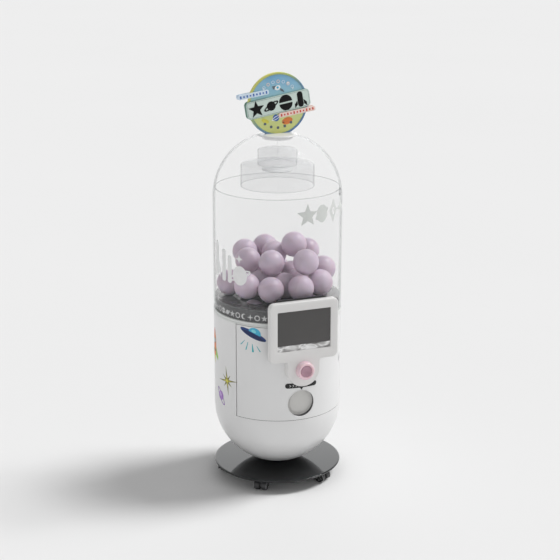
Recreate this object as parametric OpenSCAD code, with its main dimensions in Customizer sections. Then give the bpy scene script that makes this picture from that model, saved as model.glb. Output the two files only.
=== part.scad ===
// Free-standing capsule toy vendor: a pill-shaped body with a white cabinet
// below, a clear bin above, a round sign on top and five twin-wheel casters.
// Origin on the floor under the vertical axis, +Z up, front faces -Y, mm.

/* [Body] */
// Outside diameter of the cabinet and of the clear shell
body_d = 500; // [420:10:600]
// Wall of the cabinet and of its door
cabinet_wall = 8; // [6:1:12]
// Height of the straight part of the cabinet
cabinet_h = 378; // [340:2:420]
// Wall of the clear shell
shell_wall = 4; // [3:0.5:6]
// Height of the straight part of the clear shell
tube_h = 440; // [380:5:520]
// Height of the light ring between cabinet and clear shell
ring_h = 16; // [12:1:24]
// Height of the dark skirt below the bin floor
skirt_h = 48; // [40:1:60]
// Height of the clear liner round the capsules
liner_h = 430; // [360:5:460]
// Outside radius of the clear liner
liner_r = 241.5; // [236:0.5:242]

/* [Base and casters] */
// Radius of the round base plate
base_r = 253; // [240:1:280]
// Thickness of the base plate
base_t = 8; // [6:1:12]
// Top face of the base plate above the floor
base_top = 54; // [52:1:60]
// Radius of the circle the five casters stand on
caster_pcr = 203; // [190:1:215]
// Turn of the caster circle, clockwise seen from above
caster_turn = 2.3; // [0:0.1:5]
// Radius of a caster wheel
wheel_r = 19; // [16:0.5:20]
// Distance between swivel axis and wheel axis
caster_trail = 13; // [8:1:16]

/* [Door] */
// Distance of the flap pin in front of the vertical axis
pin_front = 233; // [230:0.5:234]
// Half angle of the door seen from the vertical axis
door_half = 60; // [50:1:65]
// Gap round the door
door_gap = 2; // [1:0.5:3]
// Height of the capsule outlet centre
outlet_z = 372; // [365:1:390]
// Radius of the hole in the capsule outlet
outlet_r = 53; // [52:0.5:56]
// Angle of the cam lock seen from the vertical axis
lock_angle = 54.5; // [50:0.5:56]
// Height of the cam lock
lock_z = 500; // [460:5:560]

/* [Display and button] */
// Width of the display housing
bezel_w = 280; // [260:2:300]
// Lower edge of the display housing
bezel_z0 = 555; // [545:1:570]
// Upper edge of the display housing
bezel_z1 = 790; // [780:1:800]
// Front plane of the display housing in front of the vertical axis
bezel_front = 276; // [272:1:290]
// Depth of the display housing
bezel_depth = 22; // [18:1:22]
// Width of the display window
window_w = 217; // [200:1:230]
// Lower edge of the dark screen
screen_z0 = 620; // [610:1:630]
// Upper edge of the display window
screen_z1 = 755; // [750:1:765]
// Radius of the rounded tab that carries the button
tab_r = 67; // [60:1:72]
// Height of the button centre
button_z = 518; // [510:1:525]
// Travel of the button plunger
button_travel = 4; // [3:0.5:5]

/* [Capsules and dispenser] */
// Outside diameter of a capsule
capsule_d = 100; // [90:1:100]
// Radius of the circle the wheel pockets sit on
pocket_pcr = 122; // [118:1:124]
// Number of pockets in the wheel
pocket_n = 5; // [4:1:5]
// Teeth of the drive gear on the wheel shaft
gear_teeth = 60; // [48:12:60]
// Teeth of the motor pinion
pinion_teeth = 15; // [12:1:18]
// Module of the gears
gear_module = 2; // [1.5:0.5:2]

/* [Lamp and sign] */
// Radius of the wide lamp drum
lamp_r = 142; // [120:1:160]
// Radius of the narrow lamp drum
lamp_small_r = 76; // [60:1:90]
// Radius of the round sign
sign_r = 121; // [100:1:140]
// Thickness of the round sign
sign_t = 12; // [10:1:20]
// Height of the centre of the sign
sign_z = 1493; // [1490:1:1520]

/* [Hidden] */
body_r = body_d / 2;
sphere_z = base_top + body_r;
cabinet_top = sphere_z + cabinet_h;
ring_top = cabinet_top + ring_h;
floor_top = ring_top + skirt_h;
tube_top = ring_top + tube_h;
liner_top = floor_top + liner_h;
dome_top = tube_top + body_r;
foot_z = base_top + 6;
plate_z = base_top - base_t;
hinge_r = body_r - cabinet_wall / 2;
door_z0 = sphere_z + door_gap;
door_z1 = cabinet_top - door_gap;
door_gap_angle = 0.46;
hinge_gap_angle = 1.4;
pin_r = 2;
caster_n = 5;
caster_step = 360 / caster_n;
capsule_r = capsule_d / 2;
gear_r = gear_teeth * gear_module / 2;
pinion_r = pinion_teeth * gear_module / 2;
gear_centres = gear_r + pinion_r + 0.1;
drum_z0 = floor_top - 112;
drum_r = 188;
shaft_r = 8;
fit = 0.06;
big = 2000;
$fn = 96;

// Resting places of the capsules in the bin: x, y, height above the bin floor, tilt, turn
capsules = [
  [-75.4, 159.1, 137.2, 20, 30],
  [-99.2, 61.9, 127.7, 70, 110],
  [21.1, 186.4, 141.3, 35, 200],
  [20.1, 86.2, 137.9, 110, 10],
  [-41.4, -43.4, 137.2, 15, 260],
  [78, 19.4, 185.7, 60, 320],
  [163.8, 91.4, 134.6, 140, 75],
  [70, -121, 149.9, 85, 15],
  [173.5, -48.6, 95.8, 25, 145],
  [125, -131.6, 66.4, 50, 290],
  [30.1, -168.2, 63, 100, 45],
  [-81, -137.8, 58.9, 40, 170],
  [-152.5, -67.2, 63.1, 10, 230],
  [-181.3, 48.4, 50.2, 125, 80],
  [-74.5, -5, 50.3, 30, 15],
  [87.3, -24.2, 50.3, 75, 190],
  [-31.2, 185, 50.3, 45, 250],
  [68.7, 174.6, 50.3, 90, 60],
  [183.2, 40.4, 50.2, 15, 310],
  [89.6, 76.4, 50.3, 65, 95],
  [-29.2, 84.8, 50.3, 55, 350],
  [-0.5, -73.2, 50.3, 35, 130],
];

// ---- helpers ----

// A ring with a plain rectangular section
module ring(r0, r1, z0, z1) {
  translate([0, 0, z0])
    difference() {
      cylinder(r = r1, h = z1 - z0);
      translate([0, 0, -1])
        cylinder(r = r0, h = z1 - z0 + 2);
    }
}

// A wedge of a ring, angles counted from the front towards +X
module sector(r0, r1, z0, z1, a0, a1) {
  rotate([0, 0, a0 - 90])
    rotate_extrude(angle = a1 - a0)
      translate([r0, z0])
        square([r1 - r0, z1 - z0]);
}

// A flat shape drawn in x and z, standing from y = -front backwards by depth
module upright(front, depth) {
  translate([0, depth - front, 0])
    rotate([90, 0, 0])
      linear_extrude(height = depth)
        children();
}

// Rectangle with round corners from x0, y0 to x1, y1
module round_rect(x0, y0, x1, y1, r) {
  translate([x0 + r, y0])
    square([x1 - x0 - 2 * r, y1 - y0]);
  translate([x0, y0 + r])
    square([x1 - x0, y1 - y0 - 2 * r]);
  for (x = [x0 + r, x1 - r], y = [y0 + r, y1 - r])
    translate([x, y])
      circle(r = r);
}

// Places its children on the caster circle
module at_caster(i) {
  rotate([0, 0, i * caster_step - 90 - caster_step / 2 - caster_turn])
    translate([caster_pcr, 0, 0])
      rotate([0, 0, 90])
        children();
}

// Places its children on the cabinet wall, pointing outwards along +X
module at_wall(angle, z) {
  rotate([0, 0, angle - 90])
    translate([0, 0, z])
      children();
}

// Outline of a spur gear with straight flanks
module gear_outline(teeth, pitch_r) {
  step = 360 / teeth;
  root_r = pitch_r - 1.25 * gear_module;
  tip_r = pitch_r + 0.9 * gear_module;
  root_w = 0.3 * step;
  tip_w = 0.13 * step;
  polygon([
    for (i = [0 : teeth - 1], k = [[root_r, -root_w], [tip_r, -tip_w], [tip_r, tip_w], [root_r, root_w]])
      [k[0] * cos(i * step + k[1]), k[0] * sin(i * step + k[1])]
  ]);
}

// ---- base ----

module base_plate() {
  color([0.1, 0.1, 0.1])
    difference() {
      translate([0, 0, plate_z])
        rotate_extrude() {
          square([base_r - base_t / 2, base_t]);
          translate([base_r - base_t / 2, base_t / 2])
            intersection() {
              circle(r = base_t / 2);
              translate([0, -base_t])
                square([base_t, 2 * base_t]);
            }
        }
      for (i = [0 : caster_n - 1])
        at_caster(i)
          translate([0, 0, plate_z - 1])
            cylinder(r = 8, h = base_t - 1);
      for (a = [45 : 90 : 315])
        rotate([0, 0, a])
          translate([34, 0, plate_z - 1])
            cylinder(r = 4.2, h = base_t + 2);
    }
}

module caster_sockets() {
  color([0.35, 0.35, 0.36])
    for (i = [0 : caster_n - 1])
      at_caster(i)
        difference() {
          union() {
            translate([0, 0, plate_z - 3])
              cylinder(r = 16, h = 3);
            translate([0, 0, plate_z - 1])
              cylinder(r = 7.9, h = base_t - 1.2);
          }
          translate([0, 0, plate_z - 4])
            cylinder(r = 4 + fit, h = base_t);
        }
}

module pedestal_disc() {
  color([0.2, 0.2, 0.2])
    difference() {
      translate([0, 0, base_top])
        cylinder(r = 52, h = foot_z - base_top);
      for (a = [45 : 90 : 315])
        rotate([0, 0, a])
          translate([34, 0, base_top - 1])
            cylinder(r = 4.2, h = 10);
    }
}

module pedestal_bolts() {
  color([0.7, 0.7, 0.72])
    for (a = [45 : 90 : 315])
      rotate([0, 0, a])
        translate([34, 0, 0]) {
          translate([0, 0, plate_z - 0.5])
            cylinder(r = 4, h = foot_z + 6 - plate_z);
          translate([0, 0, plate_z - 5.3])
            cylinder(r = 7.5, h = 5.3, $fn = 6);
        }
}

// ---- cabinet ----

module lower_shell() {
  color([0.93, 0.93, 0.93])
    difference() {
      rotate_extrude() {
        intersection() {
          translate([0, sphere_z])
            difference() {
              circle(r = body_r);
              circle(r = body_r - cabinet_wall);
            }
          translate([0, foot_z])
            square([body_r + 1, sphere_z - foot_z]);
        }
        intersection() {
          translate([0, sphere_z])
            circle(r = body_r - 1);
          translate([0, foot_z])
            square([body_r, 8]);
        }
        translate([body_r - cabinet_wall, sphere_z])
          square([cabinet_wall, cabinet_h]);
      }
      sector(body_r - cabinet_wall - 5, body_r + 5, sphere_z + 0.4, cabinet_top + 5,
        -door_half - hinge_gap_angle, door_half + door_gap_angle);
      for (a = [45 : 90 : 315])
        rotate([0, 0, a])
          translate([34, 0, foot_z - 1])
            cylinder(r = 4.2, h = 7);
      at_wall(-door_half, sphere_z - 14)
        translate([hinge_r, 0, 0])
          cylinder(r = pin_r, h = 20);
      translate([-14, 230, 354])
        cube([28, 30, 22]);
      for (i = [0 : 5])
        translate([-40, 230, 560 + 12 * i])
          cube([80, 30, 5]);
    }
}

module door_pivot_pins() {
  color([0.75, 0.75, 0.77]) {
    at_wall(-door_half, sphere_z - 14)
      translate([hinge_r, 0, 0])
        cylinder(r = pin_r, h = 28);
    at_wall(-door_half, door_z1 - 12)
      translate([hinge_r, 0, 0])
        cylinder(r = pin_r, h = 24);
  }
}

module tube_base_ring() {
  color([0.8, 0.81, 0.8])
    difference() {
      ring(226, body_r, cabinet_top, ring_top);
      at_wall(-door_half, cabinet_top - 1)
        translate([hinge_r, 0, 0])
          cylinder(r = pin_r, h = 11);
    }
}

module band_skirt() {
  color([0.12, 0.12, 0.12])
    ring(240.5, 243.5, ring_top, floor_top - 6);
}

module hopper_floor() {
  color([0.1, 0.1, 0.1])
    translate([0, 0, floor_top - 6])
      linear_extrude(height = 6)
        difference() {
          circle(r = 244.5);
          difference() {
            circle(r = 176);
            polygon([[0, 0], [-200 * sin(36), -200 * cos(36)], [-200, -300], [200, -300],
              [200 * sin(36), -200 * cos(36)]]);
          }
          circle(r = 30);
        }
}

module clear_liner() {
  color([0.9, 0.95, 0.97, 0.3])
    ring(liner_r - 3, liner_r, floor_top, liner_top);
}

// ---- dispenser ----

module dispenser_drum() {
  color([0.75, 0.75, 0.74])
    difference() {
      union() {
        ring(drum_r - 4, drum_r, drum_z0, floor_top - 6);
        ring(drum_r - 4, 206, floor_top - 10, floor_top - 6);
        translate([0, 0, drum_z0])
          cylinder(r = drum_r - 2, h = 5);
      }
      translate([0, 0, drum_z0 - 1])
        cylinder(r = shaft_r + fit, h = 8);
      translate([0, -pocket_pcr, drum_z0 - 1])
        cylinder(r = 54, h = 8);
      for (x = [-40, 40], y = [73, 101])
        translate([x, y, drum_z0 - 1])
          cylinder(r = 2, h = 5);
    }
}

module pocket_wheel() {
  color([0.3, 0.3, 0.32])
    difference() {
      union() {
        translate([0, 0, floor_top - 14])
          cylinder(r = 181, h = 6);
        translate([0, 0, drum_z0 + 8])
          cylinder(r = 18, h = 92);
        for (i = [0 : pocket_n - 1])
          rotate([0, 0, i * 360 / pocket_n])
            translate([0, -pocket_pcr, drum_z0 + 8])
              cylinder(r = 55.5, h = 92);
      }
      for (i = [0 : pocket_n - 1])
        rotate([0, 0, i * 360 / pocket_n])
          translate([0, -pocket_pcr, drum_z0])
            cylinder(r = 53, h = 120);
      translate([0, 0, drum_z0])
        cylinder(r = shaft_r, h = 120);
    }
}

module rotor_shaft() {
  color([0.75, 0.75, 0.77])
    translate([0, 0, drum_z0 - 26])
      cylinder(r = shaft_r, h = 162);
}

module agitator() {
  color([0.86, 0.85, 0.83]) {
    rotate_extrude()
      polygon([[shaft_r, floor_top + 1], [30, floor_top + 1], [14, floor_top + 17],
        [12, floor_top + 28], [10, floor_top + 72], [0, floor_top + 72],
        [0, floor_top + 24], [shaft_r, floor_top + 24]]);
    translate([0, 0, floor_top + 80])
      sphere(r = 14);
    for (i = [0 : 2])
      rotate([0, 0, 120 * i + 30])
        translate([12, -4, floor_top + 1])
          cube([23, 8, 5]);
  }
}

module drive_gear() {
  color([0.9, 0.9, 0.86])
    difference() {
      union() {
        translate([0, 0, drum_z0 - 20])
          linear_extrude(height = 10)
            gear_outline(gear_teeth, gear_r);
        translate([0, 0, drum_z0 - 22])
          cylinder(r = 16, h = 21.5);
      }
      translate([0, 0, drum_z0 - 30])
        cylinder(r = shaft_r, h = 40);
    }
}

module motor_pinion() {
  color([0.85, 0.75, 0.45])
    translate([0, gear_centres, 0]) {
      translate([0, 0, drum_z0 - 21])
        linear_extrude(height = 12)
          rotate([0, 0, -90 + 180 / pinion_teeth])
            gear_outline(pinion_teeth, pinion_r);
      translate([0, 0, drum_z0 - 36])
        cylinder(r = 3, h = 16);
    }
}

module gear_motor() {
  color([0.6, 0.6, 0.62])
    difference() {
      union() {
        translate([-46, 66, drum_z0 - 28])
          cube([92, 42, 4]);
        translate([-25, 60, drum_z0 - 46])
          cube([50, 42, 19]);
        translate([0, gear_centres, drum_z0 - 96])
          cylinder(r = 18, h = 51);
        for (x = [-40, 40], y = [73, 101])
          translate([x, y, drum_z0 - 26]) {
            cylinder(r = 4, h = 26);
            cylinder(r = 1.9, h = 29);
          }
      }
      translate([0, gear_centres, drum_z0 - 36.5])
        cylinder(r = 3 + fit, h = 30);
    }
}

module drop_chute() {
  color([0.85, 0.85, 0.84])
    translate([0, -pocket_pcr, 0])
      difference() {
        union() {
          translate([0, 0, 445])
            cylinder(r = 57, h = drum_z0 - 445);
          translate([0, 0, drum_z0 - 3])
            cylinder(r = 63, h = 3);
          translate([-62, -62, 445])
            cube([124, 124, 3]);
        }
        translate([0, 0, 440])
          cylinder(r = 54, h = 250);
      }
}

module capsule_tray() {
  color([0.85, 0.85, 0.84]) {
    translate([-60, 0, 0])
      rotate([90, 0, 90])
        linear_extrude(height = 120)
          polygon([[-224, 309], [-190, 310], [-60, 355], [-60, 445], [-63, 445], [-63, 359],
            [-190.6, 313.2], [-224, 312]]);
    for (x = [-61, 58])
      translate([x, 0, 0])
        rotate([90, 0, 90])
          linear_extrude(height = 3)
            polygon([[-224, 309], [-190, 310], [-60, 355], [-60, 445], [-182, 445], [-224, 400]]);
  }
}

module controller_board() {
  color([0.1, 0.4, 0.25])
    difference() {
      union() {
        translate([-90, 196, 470])
          cube([180, 2, 130]);
        for (x = [-60, 0, 50], z = [490, 550])
          translate([x, 186, z])
            cube([24, 11, 30]);
        for (x = [-80, 80], z = [480, 590])
          translate([x, 198, z])
            rotate([-90, 0, 0])
              cylinder(r = 3, h = sqrt(pow(body_r - cabinet_wall, 2) - 6889) - 198);
      }
      ring(body_r - cabinet_wall, body_r + 50, 400, 700);
    }
}

module power_supply() {
  color([0.7, 0.7, 0.7])
    difference() {
      union() {
        translate([-55, 120, foot_z + 82])
          cube([110, 45, 150]);
        intersection() {
          for (x = [-48, 40])
            translate([x, 126, foot_z + 40])
              cube([8, 33, 50]);
          translate([0, 0, sphere_z])
            sphere(r = body_r - cabinet_wall - 0.05);
        }
      }
      for (i = [0 : 8])
        translate([-45, 110, foot_z + 102 + 12 * i])
          cube([90, 14, 5]);
    }
}

module mains_inlet() {
  color([0.1, 0.1, 0.1])
    difference() {
      union() {
        difference() {
          translate([-20, 249, 348])
            cube([40, 3.5, 34]);
          cylinder(r = body_r + 0.05, h = 400);
        }
        translate([-13.5, 215, 354.5])
          cube([27, 36, 21]);
      }
      translate([-11, 238, 357])
        cube([22, 20, 16]);
    }
}

// ---- capsules ----

// One half of a capsule shell, open downwards
module half_capsule() {
  rotate_extrude()
    difference() {
      circle(r = capsule_r);
      circle(r = capsule_r - 2);
      translate([-big, -big])
        square([2 * big, big]);
      translate([-big, -big])
        square([big, 2 * big]);
    }
}

module capsule_tops() {
  color([0.72, 0.64, 0.72])
    for (c = capsules)
      translate([c[0], c[1], floor_top + c[2]])
        rotate([c[3], 0, c[4]])
          half_capsule();
}

module capsule_bottoms() {
  color([0.68, 0.6, 0.68])
    for (c = capsules)
      translate([c[0], c[1], floor_top + c[2]])
        rotate([c[3] + 180, 0, c[4]])
          half_capsule();
}

module pocket_capsules() {
  color([0.72, 0.64, 0.72])
    for (i = [1 : pocket_n - 1], t = [25, 205])
      rotate([0, 0, i * 360 / pocket_n])
        translate([0, -pocket_pcr, drum_z0 + 55.5])
          rotate([t, 0, 0])
            half_capsule();
}

// ---- clear shell, lamp and sign, lifted off together ----

module clear_shell() {
  color([0.9, 0.95, 0.97, 0.3])
    rotate_extrude() {
      translate([body_r - shell_wall, ring_top + 0.3])
        square([shell_wall, tube_h - 0.3]);
      intersection() {
        translate([0, tube_top])
          difference() {
            circle(r = body_r);
            circle(r = body_r - shell_wall);
          }
        translate([58, tube_top])
          square([body_r, body_r]);
      }
    }
}

module dome_collar() {
  color([0.95, 0.95, 0.95])
    difference() {
      union() {
        translate([0, 0, dome_top - 26])
          cylinder(r = 57.8, h = 18);
        translate([0, 0, dome_top - 14])
          cylinder(r = 76, h = 8);
      }
      difference() {
        translate([0, 0, tube_top])
          sphere(r = body_r);
        translate([0, 0, tube_top])
          cylinder(r = 57.8, h = 400);
      }
      translate([0, 0, dome_top - 27])
        cylinder(r = 2.6, h = 12);
      translate([0, sign_t / 2 + 0.05, sign_z])
        rotate([90, 0, 0])
          cylinder(r = sign_r + 0.05, h = sign_t + 0.1);
    }
}

module lamp_hanger() {
  color([0.85, 0.88, 0.9, 0.5]) {
    translate([0, 0, 1240])
      cylinder(r = 2.5, h = dome_top - 16 - 1240);
    translate([0, 0, 1316])
      cylinder(r = 8, h = 2);
    translate([0, 0, 1256])
      cylinder(r = 8, h = 2);
  }
}

module lamp_upper_drum() {
  color([0.8, 0.81, 0.83, 0.5])
    difference() {
      union() {
        ring(lamp_small_r - 2, lamp_small_r, 1262.5, 1320);
        translate([0, 0, 1318])
          cylinder(r = lamp_small_r - 1, h = 2);
      }
      translate([0, 0, 1300])
        cylinder(r = 2.6, h = 30);
    }
}

module lamp_lower_drum() {
  color([0.8, 0.81, 0.83, 0.5])
    difference() {
      union() {
        ring(lamp_r - 2, lamp_r, 1179, 1261);
        translate([0, 0, 1258.5])
          cylinder(r = lamp_r - 1, h = 2.5);
      }
      translate([0, 0, 1250])
        cylinder(r = 2.6, h = 30);
    }
}

module lamp_board() {
  color([0.92, 0.92, 0.88])
    difference() {
      union() {
        translate([0, 0, 1240])
          cylinder(r = 60, h = 2);
        for (i = [0 : 11])
          rotate([0, 0, 30 * i])
            translate([44, -3, 1238.6])
              cube([6, 6, 1.6]);
      }
      translate([0, 0, 1230])
        cylinder(r = 2.55, h = 20);
    }
}

module sign_case() {
  color([0.5, 0.62, 0.68])
    upright(sign_t / 2, sign_t)
      translate([0, sign_z])
        difference() {
          circle(r = sign_r);
          circle(r = sign_r - 5);
        }
}

module sign_disc(front) {
  upright(front, 3)
    translate([0, sign_z])
      circle(r = sign_r - 5.05);
}

module sign_face() {
  color([0.4, 0.7, 0.7])
    sign_disc(sign_t / 2 - 1);
}

module sign_back() {
  color([0.4, 0.7, 0.7])
    sign_disc(4 - sign_t / 2);
}

// Raised plates on both faces of the sign: a banner and two small tags
module sign_plates() {
  color([0.95, 0.95, 0.95])
    for (s = [-1, 1]) {
      upright(s < 0 ? sign_t / 2 + 5 : -sign_t / 2, 5)
        translate([0, sign_z])
          rotate(9.5)
            round_rect(-130, -34, 130, 34, 14);
      upright(s < 0 ? sign_t / 2 + 3 : -sign_t / 2, 3)
        translate([-101, sign_z + 41])
          rotate(8)
            round_rect(-62, -9, 62, 9, 5);
      upright(s < 0 ? sign_t / 2 + 3 : -sign_t / 2, 3)
        translate([76, sign_z - 33])
          rotate(8)
            round_rect(-75, -9, 75, 9, 5);
    }
}

// ---- door ----

module door_panel() {
  color([0.93, 0.93, 0.93])
    difference() {
      union() {
        sector(body_r - cabinet_wall, body_r, door_z0, door_z1, -door_half, door_half);
        at_wall(-door_half, door_z0)
          translate([hinge_r, 0, 0])
            cylinder(r = cabinet_wall / 2 - 0.1, h = door_z1 - door_z0);
      }
      at_wall(-door_half, door_z0 - 1)
        translate([hinge_r, 0, 0])
          cylinder(r = pin_r + fit, h = 14);
      at_wall(-door_half, door_z1 - 13)
        translate([hinge_r, 0, 0])
          cylinder(r = pin_r + fit, h = 14);
      translate([0, -200, outlet_z])
        rotate([90, 0, 0])
          cylinder(r = outlet_r + 3.05, h = 80);
      at_wall(lock_angle, lock_z)
        rotate([0, 90, 0])
          cylinder(r = 11.05, h = 300);
      for (x = [-72, 72], z = [590, 660])
        translate([x, -200, z])
          rotate([90, 0, 0])
            cylinder(r = 2.6, h = 80);
    }
}

module display_saddle() {
  color([0.12, 0.12, 0.13])
    difference() {
      union() {
        upright(bezel_front - bezel_depth + 4, 4)
          round_rect(-bezel_w / 2 + 4.1, bezel_z0 + 4.1, bezel_w / 2 - 4.1, bezel_z1 - 4.1, 18);
        upright(bezel_front - bezel_depth + 0.5, 40)
          round_rect(-100, bezel_z0 + 7, 100, bezel_z1 + 7, 12);
        upright(bezel_front - bezel_depth, 40)
          round_rect(-100, bezel_z0 + 7, 100, bezel_z1 + 7, 12);
      }
      cylinder(r = body_r, h = big);
      translate([0, 0, door_z1])
        cylinder(r = body_r + 2, h = big);
      translate([-150, -(bezel_front - bezel_depth) - 3, bezel_z1 - 4.1])
        cube([300, 3, 30]);
      for (x = [-72, 72], z = [590, 660])
        translate([x, -200, z])
          rotate([90, 0, 0])
            cylinder(r = 2.55, h = 50);
    }
}

module tab_outline(r) {
  inset = tab_r - r;
  intersection() {
    translate([0, button_z - 1])
      circle(r = r);
    translate([-r, button_z - 1 - r])
      square([2 * r, r + 1]);
  }
  translate([-r, button_z - 1])
    square([2 * r, bezel_z0 + 4 - inset - button_z + 1]);
}

module display_bezel() {
  half = bezel_w / 2;
  color([0.95, 0.95, 0.95])
    difference() {
      union() {
        upright(bezel_front, bezel_depth)
          difference() {
            round_rect(-half, bezel_z0, half, bezel_z1, 22);
            round_rect(-half + 4, bezel_z0 + 4, half - 4, bezel_z1 - 4, 18);
          }
        upright(bezel_front, 4)
          difference() {
            round_rect(-half, bezel_z0, half, bezel_z1, 22);
            translate([-window_w / 2, screen_z0 - 23])
              square([window_w, screen_z1 - screen_z0 + 23]);
          }
        upright(bezel_front, 40)
          difference() {
            tab_outline(tab_r);
            tab_outline(tab_r - 4);
          }
        upright(bezel_front, 4)
          tab_outline(tab_r - 2);
      }
      cylinder(r = body_r, h = big);
      translate([0, -240, button_z])
        rotate([90, 0, 0])
          cylinder(r = 28.05, h = 60);
    }
}

module display_panel() {
  color([0.15, 0.15, 0.16])
    upright(bezel_front - 7.2, 6)
      round_rect(-116, screen_z0 - 5, 116, screen_z1 + 9, 2);
}

module display_glass() {
  color([0.2, 0.2, 0.19])
    upright(bezel_front - 4, 3)
      round_rect(-114, screen_z0, 114, screen_z1 + 8, 2);
}

module display_trim() {
  color([0.8, 0.8, 0.82])
    upright(bezel_front - 4, 3)
      translate([-114, screen_z0 - 30])
        square([228, 29.8]);
}

module button_housing() {
  color([0.88, 0.72, 0.76])
    translate([0, 0, button_z])
      rotate([90, 0, 0])
        difference() {
          union() {
            translate([0, 0, bezel_front])
              cylinder(r = 34, h = 27);
            translate([0, 0, body_r + 7])
              cylinder(r = 28, h = bezel_front - body_r - 6);
          }
          translate([0, 0, body_r + 10])
            cylinder(r = 25, h = 24);
          translate([0, 0, body_r + 20])
            cylinder(r = 22.4, h = 60);
        }
}

module button_plunger() {
  color([0.63, 0.49, 0.54])
    translate([0, 0, button_z])
      rotate([90, 0, 0])
        difference() {
          union() {
            translate([0, 0, body_r + 29])
              cylinder(r = 22.33, h = 20);
            translate([0, 0, body_r + 29])
              cylinder(r = 24.5, h = 4.6);
          }
          translate([0, 0, body_r + 49 + 36])
            sphere(r = 41);
          translate([0, 0, body_r + 28])
            cylinder(r = 19, h = 9);
        }
}

module direction_label() {
  color([0.1, 0.1, 0.1])
    difference() {
      upright(body_r + 7, 40) {
        round_rect(-65, 438, 65, 462, 11.9);
        polygon([[-7, 440], [0, 428.5], [7, 440]]);
      }
      cylinder(r = body_r, h = big);
      translate([0, -200, button_z - 1])
        rotate([90, 0, 0])
          cylinder(r = tab_r + 0.3, h = 100);
    }
}

module outlet_frame() {
  color([0.9, 0.9, 0.9])
    difference() {
      union() {
        intersection() {
          translate([0, -234, outlet_z])
            rotate([90, 0, 0])
              cylinder(r = outlet_r + 3, h = 40);
          cylinder(r = body_r + 0.8, h = big);
        }
        for (x = [-44, 38]) {
          translate([x, -236.8, outlet_z + 34])
            cube([6, 2.8, 34]);
          translate([x, -236.8, outlet_z + 56])
            cube([6, 9, 12]);
        }
      }
      translate([0, -200, outlet_z])
        rotate([90, 0, 0])
          cylinder(r = outlet_r, h = 80);
      translate([-50, -pin_front, outlet_z + 62])
        rotate([0, 90, 0])
          cylinder(r = 2, h = 100);
    }
}

module flap_pin() {
  color([0.75, 0.75, 0.77])
    translate([-44, -pin_front, outlet_z + 62])
      rotate([0, 90, 0])
        cylinder(r = 2, h = 88);
}

module outlet_flap() {
  color([0.75, 0.75, 0.74])
    difference() {
      union() {
        upright(233.7, 3) {
          translate([0, outlet_z])
            circle(r = outlet_r + 2);
          translate([-30, outlet_z + 40])
            square([60, 22]);
        }
        translate([-37.5, -pin_front, outlet_z + 62])
          rotate([0, 90, 0])
            cylinder(r = 4.2, h = 75);
      }
      translate([-50, -pin_front, outlet_z + 62])
        rotate([0, 90, 0])
          cylinder(r = 2 + fit, h = 100);
    }
}

module lock_housing() {
  color([0.75, 0.75, 0.77])
    at_wall(lock_angle, lock_z)
      rotate([0, 90, 0])
        difference() {
          union() {
            translate([0, 0, body_r - cabinet_wall - 2])
              cylinder(r = 11, h = cabinet_wall + 4);
            translate([0, 0, body_r + 0.3])
              cylinder(r = 14, h = 2);
          }
          cylinder(r = 8 + fit, h = 300);
        }
}

module lock_cam() {
  color([0.7, 0.7, 0.72])
    at_wall(lock_angle, lock_z)
      rotate([0, 90, 0])
        difference() {
          union() {
            translate([0, 0, body_r - cabinet_wall - 6.5])
              cylinder(r = 8, h = cabinet_wall + 8.5);
            translate([-36, -7, body_r - cabinet_wall - 6.5])
              cube([40, 14, 3]);
          }
          translate([-4, -0.6, body_r - 6])
            cube([8, 1.2, 10]);
        }
}

module door_screws() {
  color([0.75, 0.75, 0.77])
    for (x = [-72, 72], z = [590, 660])
      translate([x, 0, z])
        rotate([90, 0, 0]) {
          translate([0, 0, 228])
            cylinder(r = 2.5, h = 21);
          translate([0, 0, 225.5])
            cylinder(r = 5, h = 3.5);
        }
}

// ---- casters ----

// Hood, king pin and axle boss of one twin-wheel caster, swivel axis at x = y = 0
module fork_shape() {
  difference() {
    union() {
      translate([0, 0, plate_z - 7.3])
        cylinder(r = 12, h = 4);
      translate([0, 0, plate_z - 7.3])
        cylinder(r = 4, h = 11);
      translate([-5, -caster_trail - 12, wheel_r - 4])
        cube([10, caster_trail + 20, plate_z - 7 - wheel_r + 4]);
      translate([-5, -caster_trail, wheel_r])
        rotate([0, 90, 0])
          cylinder(r = 13, h = 10);
    }
    translate([-10, -caster_trail, wheel_r])
      rotate([0, 90, 0])
        cylinder(r = 3 + fit, h = 20);
  }
}

// Two wheels on one axle
module wheels_shape() {
  translate([0, -caster_trail, wheel_r])
    rotate([0, 90, 0]) {
      for (s = [0, 180])
        rotate([s, 0, 0])
          translate([0, 0, 5.6])
            rotate_extrude() {
              square([wheel_r - 2, 18]);
              translate([0, 2])
                square([wheel_r, 14]);
            }
      translate([0, 0, -8])
        cylinder(r = 3, h = 16);
    }
}

module fork_part(i) {
  color([0.5, 0.5, 0.51])
    at_caster(i)
      fork_shape();
}

module wheels_part(i) {
  color([0.08, 0.08, 0.08])
    at_caster(i)
      wheels_shape();
}

base_plate();
caster_sockets();
pedestal_disc();
pedestal_bolts();
lower_shell();
door_pivot_pins();
tube_base_ring();
band_skirt();
hopper_floor();
clear_liner();
dispenser_drum();
gear_motor();
drop_chute();
capsule_tray();
controller_board();
power_supply();
mains_inlet();
capsule_tops();
capsule_bottoms();
pocket_wheel();
pocket_capsules();
rotor_shaft();
agitator();
drive_gear();
motor_pinion();
clear_shell();
dome_collar();
lamp_hanger();
lamp_upper_drum();
lamp_lower_drum();
lamp_board();
sign_case();
sign_face();
sign_back();
sign_plates();
door_panel();
display_saddle();
display_bezel();
display_panel();
display_glass();
display_trim();
button_housing();
direction_label();
outlet_frame();
flap_pin();
lock_housing();
door_screws();
outlet_flap();
button_plunger();
lock_cam();
fork_part(0);  // caster_fork_1
fork_part(1);  // caster_fork_2
fork_part(2);  // caster_fork_3
fork_part(3);  // caster_fork_4
fork_part(4);  // caster_fork_5
wheels_part(0);  // caster_wheels_1
wheels_part(1);  // caster_wheels_2
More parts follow.
